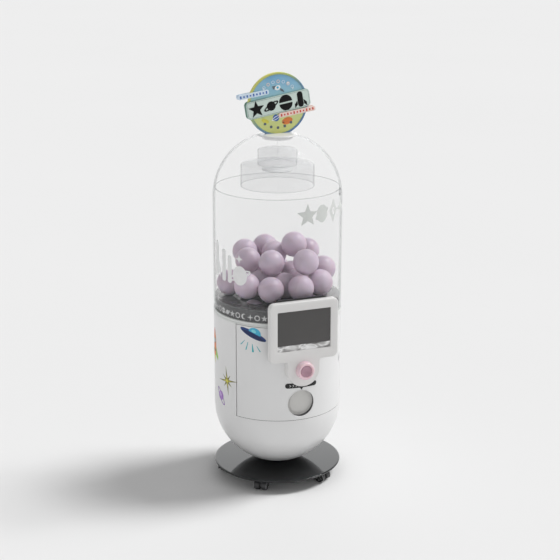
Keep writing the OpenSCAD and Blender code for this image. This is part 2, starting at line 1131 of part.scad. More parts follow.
wheels_part(2);  // caster_wheels_3
wheels_part(3);  // caster_wheels_4
wheels_part(4);  // caster_wheels_5
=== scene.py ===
import math
import bpy
import bmesh
from mathutils import Matrix, Vector


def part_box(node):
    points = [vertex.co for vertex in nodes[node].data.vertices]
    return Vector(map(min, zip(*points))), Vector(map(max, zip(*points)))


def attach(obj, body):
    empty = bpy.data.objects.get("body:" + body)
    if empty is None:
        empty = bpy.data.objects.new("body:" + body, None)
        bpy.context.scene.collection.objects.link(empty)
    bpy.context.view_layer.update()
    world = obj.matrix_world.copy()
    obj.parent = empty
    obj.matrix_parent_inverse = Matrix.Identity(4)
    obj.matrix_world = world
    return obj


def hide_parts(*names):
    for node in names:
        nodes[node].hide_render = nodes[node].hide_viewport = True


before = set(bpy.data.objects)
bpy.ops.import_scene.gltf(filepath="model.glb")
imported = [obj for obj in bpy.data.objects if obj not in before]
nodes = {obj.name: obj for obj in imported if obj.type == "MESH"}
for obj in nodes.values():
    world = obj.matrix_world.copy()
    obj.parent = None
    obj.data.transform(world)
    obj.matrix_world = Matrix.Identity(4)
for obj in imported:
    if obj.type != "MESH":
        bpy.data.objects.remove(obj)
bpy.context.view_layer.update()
scene = bpy.context.scene
PI = math.pi


# ---- CAD places ----

def cad(name):
    lo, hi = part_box(name)
    return lo * 1000, hi * 1000


R = cad("lower_shell")[1].x
CAB_TOP = cad("tube_base_ring")[0].z
RING_TOP = cad("tube_base_ring")[1].z
BIN = cad("hopper_floor")[1].z
SHELL_TOP = cad("clear_shell")[1].z
HOLE = 58.0  # radius of the hole in the dome
OUTLET_Z = 372.0
OUTLET_BACK = 234.2  # how far out the outlet ring's back edge is
LABEL_Z = 447.5
SHELL_WALL = 4.0
CAPSULE_WALL = 2.2
CAPSULE_R = 50.0
SEAM_WELD = 1e-6  # m, for joining the corners of the CAD mesh
SEAM_FLAT = 5e-5  # m, how level a capsule's seam is
TUBE_TOP = SHELL_TOP - math.sqrt(R * R - HOLE * HOLE)
SPHERE = CAB_TOP - 378.0
SIGN_LO, SIGN_HI = cad("sign_case")
SIGN_Z = (SIGN_LO.z + SIGN_HI.z) / 2
SIGN_R = (SIGN_HI.z - SIGN_LO.z) / 2
SIGN_D = (SIGN_HI.y - SIGN_LO.y) / 2

FRONT = Matrix.Rotation(PI / 2, 4, "X")
BACK = Matrix.Rotation(PI, 4, "Z") @ FRONT


def at(x, y, z):
    return Matrix.Translation((x, y, z))


# ---- materials ----

def lin(c):
    return tuple((v / 12.92 if v <= 0.04045 else ((v + 0.055) / 1.055) ** 2.4) for v in (k / 255 for k in c))


def rgba(c):
    return (*c, 1.0)


class Mat:
    """A Principled material whose colour, roughness and bump come from object-space noise."""

    def __init__(self, name, color, rough=0.4, var=0.05, scale=14.0, rvar=0.06, rscale=40.0,
                 bump=0.05, bscale=700.0, bdist=0.0002, detail=3.0, **sockets):
        self.mat = bpy.data.materials.new(name)
        self.mat.use_nodes = True
        self.tree = self.mat.node_tree
        self.bsdf = next(n for n in self.tree.nodes if n.type == "BSDF_PRINCIPLED")
        self.coord = self.node("ShaderNodeTexCoord")
        base = lin(color)
        noise = self.noise(scale, detail)
        ramp = self.ramp(noise.outputs["Fac"], [(0.3, tuple(v * (1 - var) for v in base)),
                                                (0.7, tuple(min(1, v * (1 + var)) for v in base))])
        self.color_out = ramp.outputs["Color"]
        self.link(self.color_out, self.bsdf.inputs["Base Color"])
        rn = self.noise(rscale, 4.0)
        self.link(self.span(rn.outputs["Fac"], 0.3, 0.7, max(0.01, rough - rvar), min(1, rough + rvar)),
                  self.bsdf.inputs["Roughness"])
        if bump:
            bn = self.noise(bscale, 2.0)
            self.bump = self.node("ShaderNodeBump")
            self.bump.inputs["Strength"].default_value = bump
            self.bump.inputs["Distance"].default_value = bdist
            self.link(bn.outputs["Fac"], self.bump.inputs["Height"])
            self.link(self.bump.outputs["Normal"], self.bsdf.inputs["Normal"])
        for key, value in sockets.items():
            self.bsdf.inputs[key.replace("_", " ")].default_value = value

    def node(self, kind):
        return self.tree.nodes.new(kind)

    def link(self, a, b):
        self.tree.links.new(a, b)

    def noise(self, scale, detail=3.0, distortion=0.0, stretch=None):
        n = self.node("ShaderNodeTexNoise")
        n.inputs["Scale"].default_value = scale
        n.inputs["Detail"].default_value = detail
        n.inputs["Distortion"].default_value = distortion
        source = self.coord.outputs["Object"]
        if stretch:
            m = self.node("ShaderNodeMapping")
            m.inputs["Scale"].default_value = stretch
            self.link(source, m.inputs["Vector"])
            source = m.outputs["Vector"]
        self.link(source, n.inputs["Vector"])
        return n

    def ramp(self, source, stops):
        r = self.node("ShaderNodeValToRGB")
        while len(r.color_ramp.elements) < len(stops):
            r.color_ramp.elements.new(0.5)
        for e, (p, c) in zip(r.color_ramp.elements, stops):
            e.position = p
            e.color = rgba(c)
        self.link(source, r.inputs["Fac"])
        return r

    def span(self, source, a0, a1, b0, b1):
        m = self.node("ShaderNodeMapRange")
        m.inputs["From Min"].default_value = a0
        m.inputs["From Max"].default_value = a1
        m.inputs["To Min"].default_value = b0
        m.inputs["To Max"].default_value = b1
        self.link(source, m.inputs["Value"])
        return m.outputs["Result"]

    def mix(self, fac, a, b):
        m = self.node("ShaderNodeMix")
        m.data_type = "RGBA"
        self.link(fac, m.inputs[0])
        for value, socket in ((a, m.inputs[6]), (b, m.inputs[7])):
            if isinstance(value, tuple):
                socket.default_value = rgba(value)
            else:
                self.link(value, socket)
        return m.outputs[2]

    def axis(self, name):
        s = self.node("ShaderNodeSeparateXYZ")
        self.link(self.coord.outputs["Object"], s.inputs["Vector"])
        return s.outputs[name]

    def see_through(self, low, high, start=0.55, edge=None):
        """Alpha that rises, and colour that darkens, where the surface is seen edge-on."""
        lw = self.node("ShaderNodeLayerWeight")
        lw.inputs["Blend"].default_value = 0.5
        alpha = self.node("ShaderNodeValToRGB")
        alpha.color_ramp.elements[0].position = start
        alpha.color_ramp.elements[0].color = rgba((low,) * 3)
        alpha.color_ramp.elements[1].position = 1.0
        alpha.color_ramp.elements[1].color = rgba((high,) * 3)
        self.link(lw.outputs["Facing"], alpha.inputs["Fac"])
        self.link(alpha.outputs["Color"], self.bsdf.inputs["Alpha"])
        if edge:
            self.link(self.mix(self.span(lw.outputs["Facing"], 0.75, 1.0, 0.0, 1.0), self.color_out,
                               lin(edge)),
                      self.bsdf.inputs["Base Color"])
        return self


white = Mat("white_shell_paint", (225, 225, 225), 0.34, var=0.012, scale=5, rvar=0.05, bump=0.04,
            bscale=900,
            Coat_Weight=0.15, Coat_Roughness=0.12)
panel_white = Mat("white_bezel_plastic", (222, 221, 220), 0.38, var=0.012, scale=9, bump=0.06, bscale=1300)
bin_floor = Mat("bin_floor_acrylic", (86, 87, 87), 0.22, var=0.08, scale=10, rvar=0.06, rscale=9, bump=0.02,
                bscale=300, IOR=1.7)
band_black = Mat("band_black", (84, 84, 85), 0.34, var=0.06, scale=12, bump=0.03, bscale=500)
ring_grey = Mat("ring_grey_plastic", (214, 216, 214), 0.4, var=0.03, scale=10, bump=0.04)
base_metal = Mat("base_black_metal", (11, 12, 14), 0.06, var=0.15, scale=9, rvar=0.03, rscale=12, bump=0.02,
                 bscale=260, IOR=1.6, Specular_Tint=(0.95, 0.985, 1.0, 1.0))
rubber = Mat("caster_black_rubber", (24, 24, 25), 0.55, var=0.2, scale=60, bump=0.15, bscale=900)
caster_grey = Mat("caster_grey_plastic", (128, 129, 131), 0.35, var=0.06, scale=60, bump=0.05)
caster_dark = Mat("caster_dark_plastic", (52, 52, 54), 0.35, var=0.1, scale=60, bump=0.05)
satin_steel = Mat("satin_steel", (224, 224, 225), 0.42, var=0.05, scale=90, rvar=0.1, bump=0.04, bscale=500,
                  Metallic=0.3)
zinc = Mat("zinc_steel", (190, 191, 194), 0.28, var=0.08, scale=90, rvar=0.1, bump=0.05, bscale=500,
           Metallic=1.0)
mech_grey = Mat("moulded_grey", (196, 195, 192), 0.45, var=0.04, scale=20, bump=0.08)
mech_dark = Mat("moulded_dark", (70, 70, 73), 0.45, var=0.08, scale=20, bump=0.08)
mech_light = Mat("moulded_light", (222, 219, 212), 0.4, var=0.04, scale=20, bump=0.06)
brass = Mat("brass", (196, 164, 96), 0.3, var=0.08, scale=90, bump=0.04, Metallic=1.0)
circuit = Mat("circuit_board", (22, 92, 58), 0.4, var=0.25, scale=160, bump=0.2, bscale=260, bdist=0.0004)
galvanised = Mat("galvanised_sheet", (176, 179, 182), 0.38, var=0.14, scale=45, rvar=0.12, rscale=30,
                 bump=0.06,
                 bscale=120, Metallic=0.9)
# The display saddle's near-black colour is painted shade: it gives the dark shaded strip seen just above the
# top of the bezel.
saddle_dark = Mat("saddle_dark", (40, 40, 42), 0.4, var=0.08, scale=20, bump=0.1)
flap_grey = Mat("flap_grey_plastic", (205, 204, 201), 0.42, var=0.02, scale=16, bump=0.08, bscale=1000)
pink_light = Mat("pink_ring_plastic", (233, 202, 210), 0.36, var=0.02, scale=60, bump=0.03,
                 Subsurface_Weight=0.08, Coat_Weight=0.3, Coat_Roughness=0.1)
# The plunger is a darker pink than the ring: painted shade for the recess it sits in, added to the real shade
# of the recessed cap.
pink_dark = Mat("pink_plunger_painted_shade", (180, 140, 155), 0.32, var=0.05, scale=70, bump=0.04,
                Coat_Weight=0.3, Coat_Roughness=0.1)
label_black = Mat("label_black", (9, 9, 10), 0.42, var=0.2, scale=60, bump=0.03)
label_white = Mat("label_white_print", (225, 225, 225), 0.5, var=0.03, scale=60, bump=0.0)
lilac = Mat("capsule_lilac_pearl", (208, 184, 200), 0.48, var=0.05, scale=22, rvar=0.08, rscale=50,
            bump=0.03,
            bscale=900, Subsurface_Weight=0.15, Coat_Weight=0.1, Coat_Roughness=0.35)
lilac_deep = Mat("capsule_lilac_deep", (200, 175, 191), 0.46, var=0.06, scale=22, rvar=0.08, rscale=50,
                 bump=0.03,
                 bscale=900, Subsurface_Weight=0.15, Coat_Weight=0.1, Coat_Roughness=0.35)
screen = Mat("screen_glass", (60, 58, 57), 0.12, var=0.06, scale=7, rvar=0.03, rscale=12, bump=0.0,
             Coat_Weight=0.5,
             Coat_Roughness=0.03)
screen_edge = Mat("screen_edge", (30, 30, 31), 0.3, var=0.1, scale=30, bump=0.02)
lamp_white = Mat("lamp_board_white", (222, 223, 224), 0.4, var=0.03, scale=40, bump=0.03)
clear = Mat("clear_acrylic", (225, 230, 230), 0.05, var=0.03, scale=6, rvar=0.02, rscale=9, bump=0.012,
            bscale=26,
            bdist=0.001).see_through(0.018, 0.95, 0.75, (46, 50, 48))
liner_clear = Mat("clear_liner_acrylic", (200, 205, 204), 0.06, var=0.03, scale=6, bump=0.01, bscale=30,
                  bdist=0.001).see_through(0.025, 0.3, 0.86, (140, 144, 142))
liner_rim = Mat("liner_cut_edge", (128, 134, 131), 0.3, var=0.05, scale=30,
                bump=0.03).see_through(0.4, 0.6, 0.5)
frosted = Mat("frosted_acrylic", (192, 194, 197), 0.35, var=0.05, scale=25, rvar=0.08, bump=0.05, bscale=500
              ).see_through(0.085, 0.4, 0.72, (140, 142, 144))
drum_edge = Mat("drum_cut_edge", (176, 178, 180), 0.4, var=0.05, scale=30,
                bump=0.03).see_through(0.5, 0.7, 0.5)
rod_clear = Mat("clear_rod", (225, 228, 230), 0.1, var=0.03, scale=40,
                bump=0.0).see_through(0.05, 0.25, 0.6)
frost_print = Mat("white_film", (232, 232, 232), 0.5, var=0.03, scale=40, bump=0.03)
grey_print = Mat("pale_film", (208, 211, 208), 0.5, var=0.03, scale=40, bump=0.03)
band_print = Mat("band_print_grey", (206, 206, 206), 0.5, var=0.05, scale=60, bump=0.03)

ink = {}
for key, color in {
    "navy": (22, 58, 120), "navy_dark": (14, 36, 84), "cyan": (70, 178, 212), "cyan_pale": (130, 214, 226),
    "teal": (52, 170, 178), "yellow": (214, 208, 84), "yellow_line": (150, 142, 60),
                   "purple": (172, 128, 204),
    "purple_line": (140, 92, 178), "orange": (222, 124, 58), "brown": (128, 84, 52),
                   "green": (138, 196, 62),
    "red": (206, 64, 44), "blue": (40, 96, 176), "black": (8, 8, 9), "grey": (92, 104, 112),
    "sign_white": (236, 240, 240), "olive": (122, 118, 58), "lilac_print": (196, 164, 220),
                   "pale_blue": (208, 224, 238),
    "pale_red": (240, 214, 204), "sage": (132, 166, 156),
}.items():
    ink[key] = Mat("print_" + key, color, 0.45, var=0.05, scale=120, bump=0.03, bscale=900,
                   Specular_IOR_Level=0.2 if key == "black" else 0.5)

banner_pale = Mat("banner_pale_print", (206, 222, 214), 0.45, var=0.04, scale=18, bump=0.02)
sign_print = Mat("sign_gradient_print", (120, 180, 180), 0.35, var=0.03, bump=0.02)
height = sign_print.node("ShaderNodeMath")
height.operation = "ADD"
wobble = sign_print.noise(26, 3.0)
sign_print.link(sign_print.axis("Z"), height.inputs[0])
sign_print.link(sign_print.span(wobble.outputs["Fac"], 0.3, 0.7, -0.012, 0.012), height.inputs[1])
sign_fac = sign_print.span(height.outputs["Value"], (SIGN_Z - SIGN_R) / 1000, (SIGN_Z + SIGN_R) / 1000, 0.0,
                           1.0)
sign_ramp = sign_print.ramp(sign_fac, [(0.06, lin((212, 216, 128))), (0.3, lin((204, 214, 146))),
                                       (0.42, lin((170, 206, 180))), (0.6, lin((150, 194, 202))),
                                       (0.82, lin((134, 182, 208))), (0.97, lin((108, 164, 202)))])
sign_print.link(sign_ramp.outputs["Color"], sign_print.bsdf.inputs["Base Color"])

sign_edge = Mat("sign_edge_print", (150, 170, 150), 0.35, var=0.03, bump=0.02)
lean = sign_edge.node("ShaderNodeMath")
lean.operation = "SUBTRACT"
sign_edge.link(sign_edge.axis("Z"), lean.inputs[0])
sign_edge.link(sign_edge.axis("X"), lean.inputs[1])
edge_fac = sign_edge.span(lean.outputs["Value"], (SIGN_Z - 1.3 * SIGN_R) / 1000,
                          (SIGN_Z + 1.3 * SIGN_R) / 1000,
                          0.0, 1.0)
edge_ramp = sign_edge.ramp(edge_fac, [(0.1, lin((104, 136, 178))), (0.45, lin((112, 150, 176))),
                                      (0.7, lin((178, 196, 122))), (0.95, lin((206, 206, 110)))])
sign_edge.link(edge_ramp.outputs["Color"], sign_edge.bsdf.inputs["Base Color"])

mirror = Mat("mirror_strip", (222, 223, 226), 0.06, var=0.05, scale=30, bump=0.0, Metallic=1.0)
# The chrome strip's base colour is streaked dark and light in stretched noise: painted reflections of the
# surroundings, on top of what the metal itself reflects.
painted_reflection_noise = mirror.noise(7.0, 1.5, 0.6, (2.4, 1.0, 6.0))
painted_reflection_ramp = mirror.ramp(painted_reflection_noise.outputs["Fac"], [(0.34, lin((88, 87, 87))), (0.46, lin((176, 175, 174))),
                                                  (0.54, lin((232, 232, 232))), (0.66, lin((150, 150, 150)))])
mirror.link(painted_reflection_ramp.outputs["Color"], mirror.bsdf.inputs["Base Color"])


# ---- shapes (mm) ----

def circ(cx, cy, r, n=48, ry=None, rot=0.0, a0=0.0, a1=360.0):
    ry = r if ry is None else ry
    full = abs(a1 - a0) > 359.9
    k = n if full else n + 1
    c, s = math.cos(math.radians(rot)), math.sin(math.radians(rot))
    out = []
    for i in range(k):
        a = math.radians(a0 + (a1 - a0) * i / n)
        x, y = r * math.cos(a), ry * math.sin(a)
        out.append((cx + x * c - y * s, cy + x * s + y * c))
    return out


def rrect(x0, y0, x1, y1, r, n=8):
    out = []
    for cx, cy, a in ((x1 - r, y0 + r, -90), (x1 - r, y1 - r, 0), (x0 + r, y1 - r, 90),
                      (x0 + r, y0 + r, 180)):
        out += [(cx + r * math.cos(math.radians(a + 90 * i / n)),
                 cy + r * math.sin(math.radians(a + 90 * i / n)))
                for i in range(n + 1)]
    return out


def star(cx, cy, ro, ri, k=5, rot=90.0, stretch=1.0):
    out = []
    for i in range(2 * k):
        r = ri if i % 2 else ro
        a = math.radians(rot + 180 * i / k)
        out.append((cx + r * math.cos(a), cy + stretch * r * math.sin(a)))
    return out


def shift(loop, dx=0.0, dy=0.0, rot=0.0, k=1.0):
    c, s = math.cos(math.radians(rot)) * k, math.sin(math.radians(rot)) * k
    return [(dx + x * c - y * s, dy + x * s + y * c) for x, y in loop]


def inset(loop, d):
    """The loop (anticlockwise) moved inwards by d along its corner normals."""
    n = len(loop)
    out = []
    for i in range(n):
        p0, p, p1 = Vector(loop[i - 1]), Vector(loop[i]), Vector(loop[(i + 1) % n])
        u, v = (p - p0).normalized(), (p1 - p).normalized()
        a, b = Vector((-u.y, u.x)), Vector((-v.y, v.x))
        m = a + b
        m = m / max(0.3, 1 + a.dot(b))
        out.append((p.x + m.x * d, p.y + m.y * d))
    return out


def crescent(cx, cy, r):
    return circ(cx, cy, r, 28, a0=50, a1=310) + circ(cx + 0.42 * r, cy, 0.79 * r, 24, a0=284, a1=76)


def rounded(points, n=5, closed=True):
    """Corner points (x, y, radius) with the corners rounded."""
    out = []
    m = len(points)
    for i, p in enumerate(points):
        r = p[2] if len(p) > 2 else 0.0
        if r <= 0 or (not closed and i in (0, m - 1)):
            out.append((p[0], p[1]))
            continue
        a = Vector(points[i - 1][:2]) - Vector(p[:2])
        b = Vector(points[(i + 1) % m][:2]) - Vector(p[:2])
        half = a.angle(b) / 2
        if half > 1.55:
            out.append((p[0], p[1]))
            continue
        t = min(r / math.tan(half), 0.49 * a.length, 0.49 * b.length)
        rr = t * math.tan(half)
        a.normalize()
        b.normalize()
        c = Vector(p[:2]) + (a + b).normalized() * (rr / math.sin(half))
        v0 = Vector(p[:2]) + a * t - c
        v1 = Vector(p[:2]) + b * t - c
        a0, a1 = math.atan2(v0.y, v0.x), math.atan2(v1.y, v1.x)
        d = (a1 - a0 + PI) % (2 * PI) - PI
        out += [(c.x + rr * math.cos(a0 + d * k / n),
                 c.y + rr * math.sin(a0 + d * k / n)) for k in range(n + 1)]
    return out


class Shape:
    """Collects solids in mm into one mesh, each face with a material."""

    def __init__(self):
        self.bm = bmesh.new()
        self.mats = []

    def slot(self, mat):
        if mat not in self.mats:
            self.mats.append(mat)
        return self.mats.index(mat)

    def face(self, verts, k):
        try:
            self.bm.faces.new(verts).material_index = k
        except ValueError:
            pass

    def lathe(self, profile, mat, m=Matrix.Identity(4), seg=96, closed=True, arc=None):
        k = self.slot(mat)
        rings = []
        count = seg if arc is None else seg + 1
        start, end = (0, 360) if arc is None else arc
        for r, z in profile:
            if r < 1e-6:
                rings.append([self.bm.verts.new(m @ Vector((0, 0, z)))])
            else:
                ring = []
                for i in range(count):
                    a = math.radians(start + (end - start) * i / seg)
                    ring.append(self.bm.verts.new(m @ Vector((r * math.cos(a), r * math.sin(a), z))))
                rings.append(ring)
        pairs = list(zip(rings, rings[1:])) + ([(rings[-1], rings[0])] if closed else [])
        for a, b in pairs:
            for i in range(seg):
                j = (i + 1) % count
                if len(a) == 1 and len(b) == 1:
                    break
                if len(a) == 1:
                    self.face((a[0], b[i], b[j]), k)
                elif len(b) == 1:
                    self.face((a[i], a[j], b[0]), k)
                else:
                    self.face((a[i], a[j], b[j], b[i]), k)
        if arc is not None:
            self.face([r[0] for r in rings], k)
            self.face([r[-1] for r in rings], k)
        return self

    def loft(self, loops, mat, m=Matrix.Identity(4), ring=False, caps=True):
        k = self.slot(mat)
        rows = [[self.bm.verts.new(m @ Vector(p)) for p in loop] for loop in loops]
        pairs = list(zip(rows, rows[1:])) + ([(rows[-1], rows[0])] if ring else [])
        n = len(rows[0])
        for a, b in pairs:
            for i in range(n):
                j = (i + 1) % n
                self.face((a[i], a[j], b[j], b[i]), k)
        if caps and not ring:
            self.face(rows[0], k)
            self.face(rows[-1], k)
        return rows

    def pad(self, loop, z0, z1, mat, m=Matrix.Identity(4), r=1.0, n=3, back=False):
        """A plate between z0 and z1 with a rounded front edge (and back edge)."""
        sections = [(0.0, z0)]
        if back:
            sections = [(r * (1 - math.sin(PI / 2 * i / n)), z0 + r * (1 - math.cos(PI / 2 * i / n)))
                        for i in range(n + 1)]
        sections += [(r * (1 - math.cos(PI / 2 * i / n)), z1 - r + r * math.sin(PI / 2 * i / n))
                     for i in range(n + 1)]
        self.loft([[(x, y, z) for x, y in inset(loop, d)] for d, z in sections], mat, m)
        return self

    def flat(self, loops, z0, z1, mat, m=Matrix.Identity(4), bevel=0.0, res=2, bend=None):
        """A plate with holes, filled by even-odd; bend is (radius, angle, height) on the cabinet."""
        k = self.slot(mat)
        cu = bpy.data.curves.new("tmp", "CURVE")
        cu.dimensions = "2D"
        cu.fill_mode = "BOTH"
        for loop in loops:
            sp = cu.splines.new("POLY")
            sp.points.add(len(loop) - 1)
            for p, (x, y) in zip(sp.points, loop):
                p.co = (x, y, 0, 1)
            sp.use_cyclic_u = True
        cu.extrude = (z1 - z0) / 2 - bevel
        cu.bevel_depth = bevel
        cu.bevel_resolution = res
        cu.offset = -bevel
        ob = bpy.data.objects.new("tmp", cu)
        scene.collection.objects.link(ob)
        me = bpy.data.meshes.new_from_object(ob.evaluated_get(bpy.context.evaluated_depsgraph_get()))
        bpy.data.objects.remove(ob)
        bpy.data.curves.remove(cu)
        part = bmesh.new()
        part.from_mesh(me)
        bpy.data.meshes.remove(me)
        bmesh.ops.remove_doubles(part, verts=part.verts, dist=0.002)
        if bend:
            radius, angle, up = bend
            xs = [v.co.x for v in part.verts]
            x = math.floor(min(xs) / 9) * 9
            while x < max(xs):
                bmesh.ops.bisect_plane(part, geom=part.verts[:] + part.edges[:] + part.faces[:],
                                       plane_co=(x, 0, 0), plane_no=(1, 0, 0))
                x += 9
        verts = {}
        for v in part.verts:
            z = v.co.z + (z0 + z1) / 2
            if bend:
                a = math.radians(angle) + v.co.x / radius
                p = Vector(((radius + z) * math.sin(a), -(radius + z) * math.cos(a), up + v.co.y))
            else:
                p = Vector((v.co.x, v.co.y, z))
            verts[v] = self.bm.verts.new(m @ p)
        for f in part.faces:
            self.face([verts[v] for v in f.verts], k)
        part.free()
        return self

    def done(self, name, body, replaces=(), slot=None, angle=32, place=Matrix.Identity(4)):
        bmesh.ops.recalc_face_normals(self.bm, faces=self.bm.faces)
        me = bpy.data.meshes.new(name)
        self.bm.transform(Matrix.Scale(0.001, 4) @ place)
        self.bm.to_mesh(me)
        self.bm.free()
        for mat in self.mats:
            me.materials.append(mat.mat)
        me.polygons.foreach_set("use_smooth", [True] * len(me.polygons))
        me.set_sharp_from_angle(angle=math.radians(angle))
        ob = bpy.data.objects.new(name, me)
        scene.collection.objects.link(ob)
        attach(ob, body)
        if replaces:
            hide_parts(*replaces)
        return ob


# ---- base and casters ----

lo, hi = cad("base_plate")
base_r, base_z0, base_z1 = hi.x, lo.z, hi.z
t = (base_z1 - base_z0) / 2
s = Shape()
s.lathe(rounded([(0, base_z0), (base_r - 3, base_z0, 2.5), (base_r, base_z0 + t, 4),
                 (base_r, base_z1 - 1, 2.5),
                 (base_r - 5, base_z1, 4), (0, base_z1)], 5, closed=False), base_metal, seg=160,
        closed=False)
s.done("base_disc", "cabinet", ["base_plate"], "base_metal")

lo, hi = cad("pedestal_disc")
s = Shape()
s.lathe(rounded([(0, lo.z + 0.02), (hi.x, lo.z + 0.02), (hi.x, hi.z - 0.05, 1.5), (0, hi.z - 0.05)], 4,
                closed=False),
        caster_dark, seg=96, closed=False)
s.done("pedestal_pad", "cabinet", ["pedestal_disc"], "base_metal")

for i in range(1, 6):
    turn = math.radians(72 * (i - 1) - 128.3)
    place = Matrix.Rotation(turn, 4, "Z") @ at(203, 0, 0) @ Matrix.Rotation(PI / 2, 4, "Z")
    wz = 19.0
    side = Matrix.Rotation(PI / 2, 4, "Y")
    axle = at(0, -13, wz) @ side
    s = Shape()
    for sx in (-1, 1):
        hood = rounded([(19.9, sx * 5.2), (19.9, sx * 23.4, 0.6), (18.6, sx * 24.4, 0.6),
                        (20.6, sx * 25.6, 1.2),
                        (22.2, sx * 24.6, 1.4), (21.9, sx * 12.0, 6), (20.4, sx * 5.2)], 4)
        s.lathe(hood, caster_dark, axle, seg=40, arc=(62, 292))
        rim = rounded([(22.3, sx * 25.9, 0.5), (24.2, sx * 25.9, 0.6), (24.2, sx * 23.9, 0.6),
                       (22.3, sx * 23.9, 0.5)], 2)
        s.lathe(rim, caster_grey, axle, seg=40, arc=(62, 292))
    s.loft([[(x, y, -5 + 10 * k) for x, y in circ(0, 0, 13.5, 40)] for k in (0, 1)], caster_dark, axle)
    s.loft([[(x, y, z) for x, y in rrect(-8, -24, 8, 10, 5)] for z in (21.0, 33.0, 38.9)], caster_dark)
    s.lathe(rounded([(0, 38.7), (12, 38.7, 1), (12, 42.7, 1), (4, 42.7), (4, 49.6, 1), (0, 49.6)], 3,
                    closed=False),
            zinc, seg=40, closed=False)
    s.done("caster_hood_%d" % i, "caster_%d" % i, ["caster_fork_%d" % i], "caster_grey", place=place)
    s = Shape()
    for sx in (-1, 1):
        tyre = rounded([(0, 5.6), (16.8, 5.6, 1), (19, 7.0, 2), (19, 21.4, 2.4), (16.6, 23.6, 1.4),
                        (14.6, 23.6, 0.8),
                        (13.4, 20.6, 1.2), (6.8, 20.6, 1.2), (5.8, 23.4, 1.2), (3.6, 24.2, 1.2), (0, 24.2)],
                       4,
                       closed=False)
        s.lathe([(r, sx * z) for r, z in tyre], rubber, axle, seg=56, closed=False)
        for q in range(5):
            a = 2 * PI * q / 5
            s.pad(rrect(5.5, -1.3, 13.9, 1.3, 1.2, 4), 20.2, 22.6, caster_grey,
                  axle @ Matrix.Rotation(PI if sx < 0 else 0, 4, "X") @ Matrix.Rotation(a, 4, "Z"),
                  r=0.6)
    s.lathe([(0, -8), (3, -8), (3, 8), (0, 8)], zinc, axle, seg=24, closed=False)
    s.done("caster_tyres_%d" % i, "wheels_%d" % i, ["caster_wheels_%d" % i], "caster_black", place=place)

# ---- seal behind the gap round the door ----

s = Shape()
lock_z = sum(v.z for v in cad("lock_housing")) / 2
for a0, a1, z0, z1, n in ((-62.6, -58.6, SPHERE + 0.8, CAB_TOP - 0.6, 6),
                          (-58.6, 61.5, SPHERE - 3, SPHERE + 7, 96),
                          (59.2, 61.5, SPHERE + 7, lock_z - 9, 4), (59.2, 61.5, lock_z + 9, CAB_TOP - 0.6,
                                                                    4)):
    s.lathe([(R - 10.2, z0), (R - 9.0, z0), (R - 9.0, z1), (R - 10.2, z1)], rubber,
            Matrix.Rotation(-PI / 2, 4, "Z"),
            seg=n, arc=(a0, a1))
gap_z = cad("door_panel")[0].z
s.lathe([(R - 4, SPHERE + 0.45), (R - 0.6, SPHERE + 0.45), (R - 0.6, gap_z - 0.15), (R - 4, gap_z - 0.15)],
        rubber,
        Matrix.Rotation(-PI / 2, 4, "Z"), seg=96, arc=(-58.6, 61.5))
s.done("door_seal", "cabinet")

# ---- clear shell and liner ----

dome = []
for i in range(41):
    a = PI / 2 * i / 40
    if R * math.cos(a) > HOLE:
        dome.append((R * math.cos(a), TUBE_TOP + R * math.sin(a)))
outer = [(R, RING_TOP + 0.3, 1.0)] + dome + [(HOLE, SHELL_TOP, 1.0)]
inner = []
for i in range(41):
    a = PI / 2 * i / 40
    if (R - SHELL_WALL) * math.cos(a) > HOLE:
        inner.append(((R - SHELL_WALL) * math.cos(a), TUBE_TOP + (R - SHELL_WALL) * math.sin(a)))
inner = [(R - SHELL_WALL, RING_TOP + 0.3, 1.0)] + inner
inner.append((HOLE, TUBE_TOP + math.sqrt((R - SHELL_WALL) ** 2 - HOLE ** 2), 1.0))
s = Shape()
s.lathe(rounded(outer + inner[::-1], 3), clear, seg=192)
s.done("clear_dome_shell", "lift_off_top", ["clear_shell"], "clear_acrylic", angle=50)

lo, hi = cad("clear_liner")
s = Shape()
s.lathe([(hi.x, lo.z + 0.05), (hi.x, hi.z - 1.2), (hi.x - 3, hi.z - 1.2), (hi.x - 3, lo.z + 0.05)],
        liner_clear, seg=160)
s.lathe(rounded([(hi.x, hi.z - 1.15), (hi.x, hi.z, 0.9), (hi.x - 3, hi.z, 0.9), (hi.x - 3, hi.z - 1.15)],
                3), liner_rim,
        seg=160)
s.done("clear_bin_liner", "cabinet", ["clear_liner"], "clear_acrylic", angle=50)

# ---- ring, band and band motifs ----

lo, hi = cad("tube_base_ring")
s = Shape()
s.lathe(rounded([(R - 24, lo.z, 1), (R - 0.2, lo.z, 0.6), (R, lo.z + 1.2, 1), (R, lo.z + 5.0, 0.5),
                 (R - 0.9, lo.z + 6.0, 0.4), (R - 0.9, lo.z + 7.2, 0.4), (R, lo.z + 8.2, 0.5),
                 (R, hi.z - 1, 1.4),
                 (R - 1.2, hi.z - 0.05, 1), (R - 24, hi.z - 0.05, 1)], 3), ring_grey, seg=192)
s.done("light_ring", "cabinet", ["tube_base_ring"], "ring_grey")

blo, bhi = cad("band_skirt")
s = Shape()
s.lathe(rounded([(bhi.x, blo.z + 0.05, 0.8), (bhi.x, bhi.z - 0.05, 0.8), (bhi.x - 3, bhi.z - 0.05, 0.4),
                 (bhi.x - 3, blo.z + 0.05, 0.4)], 3), band_black, seg=192)
s.done("band_ring", "cabinet", ["band_skirt"], "black_gloss")


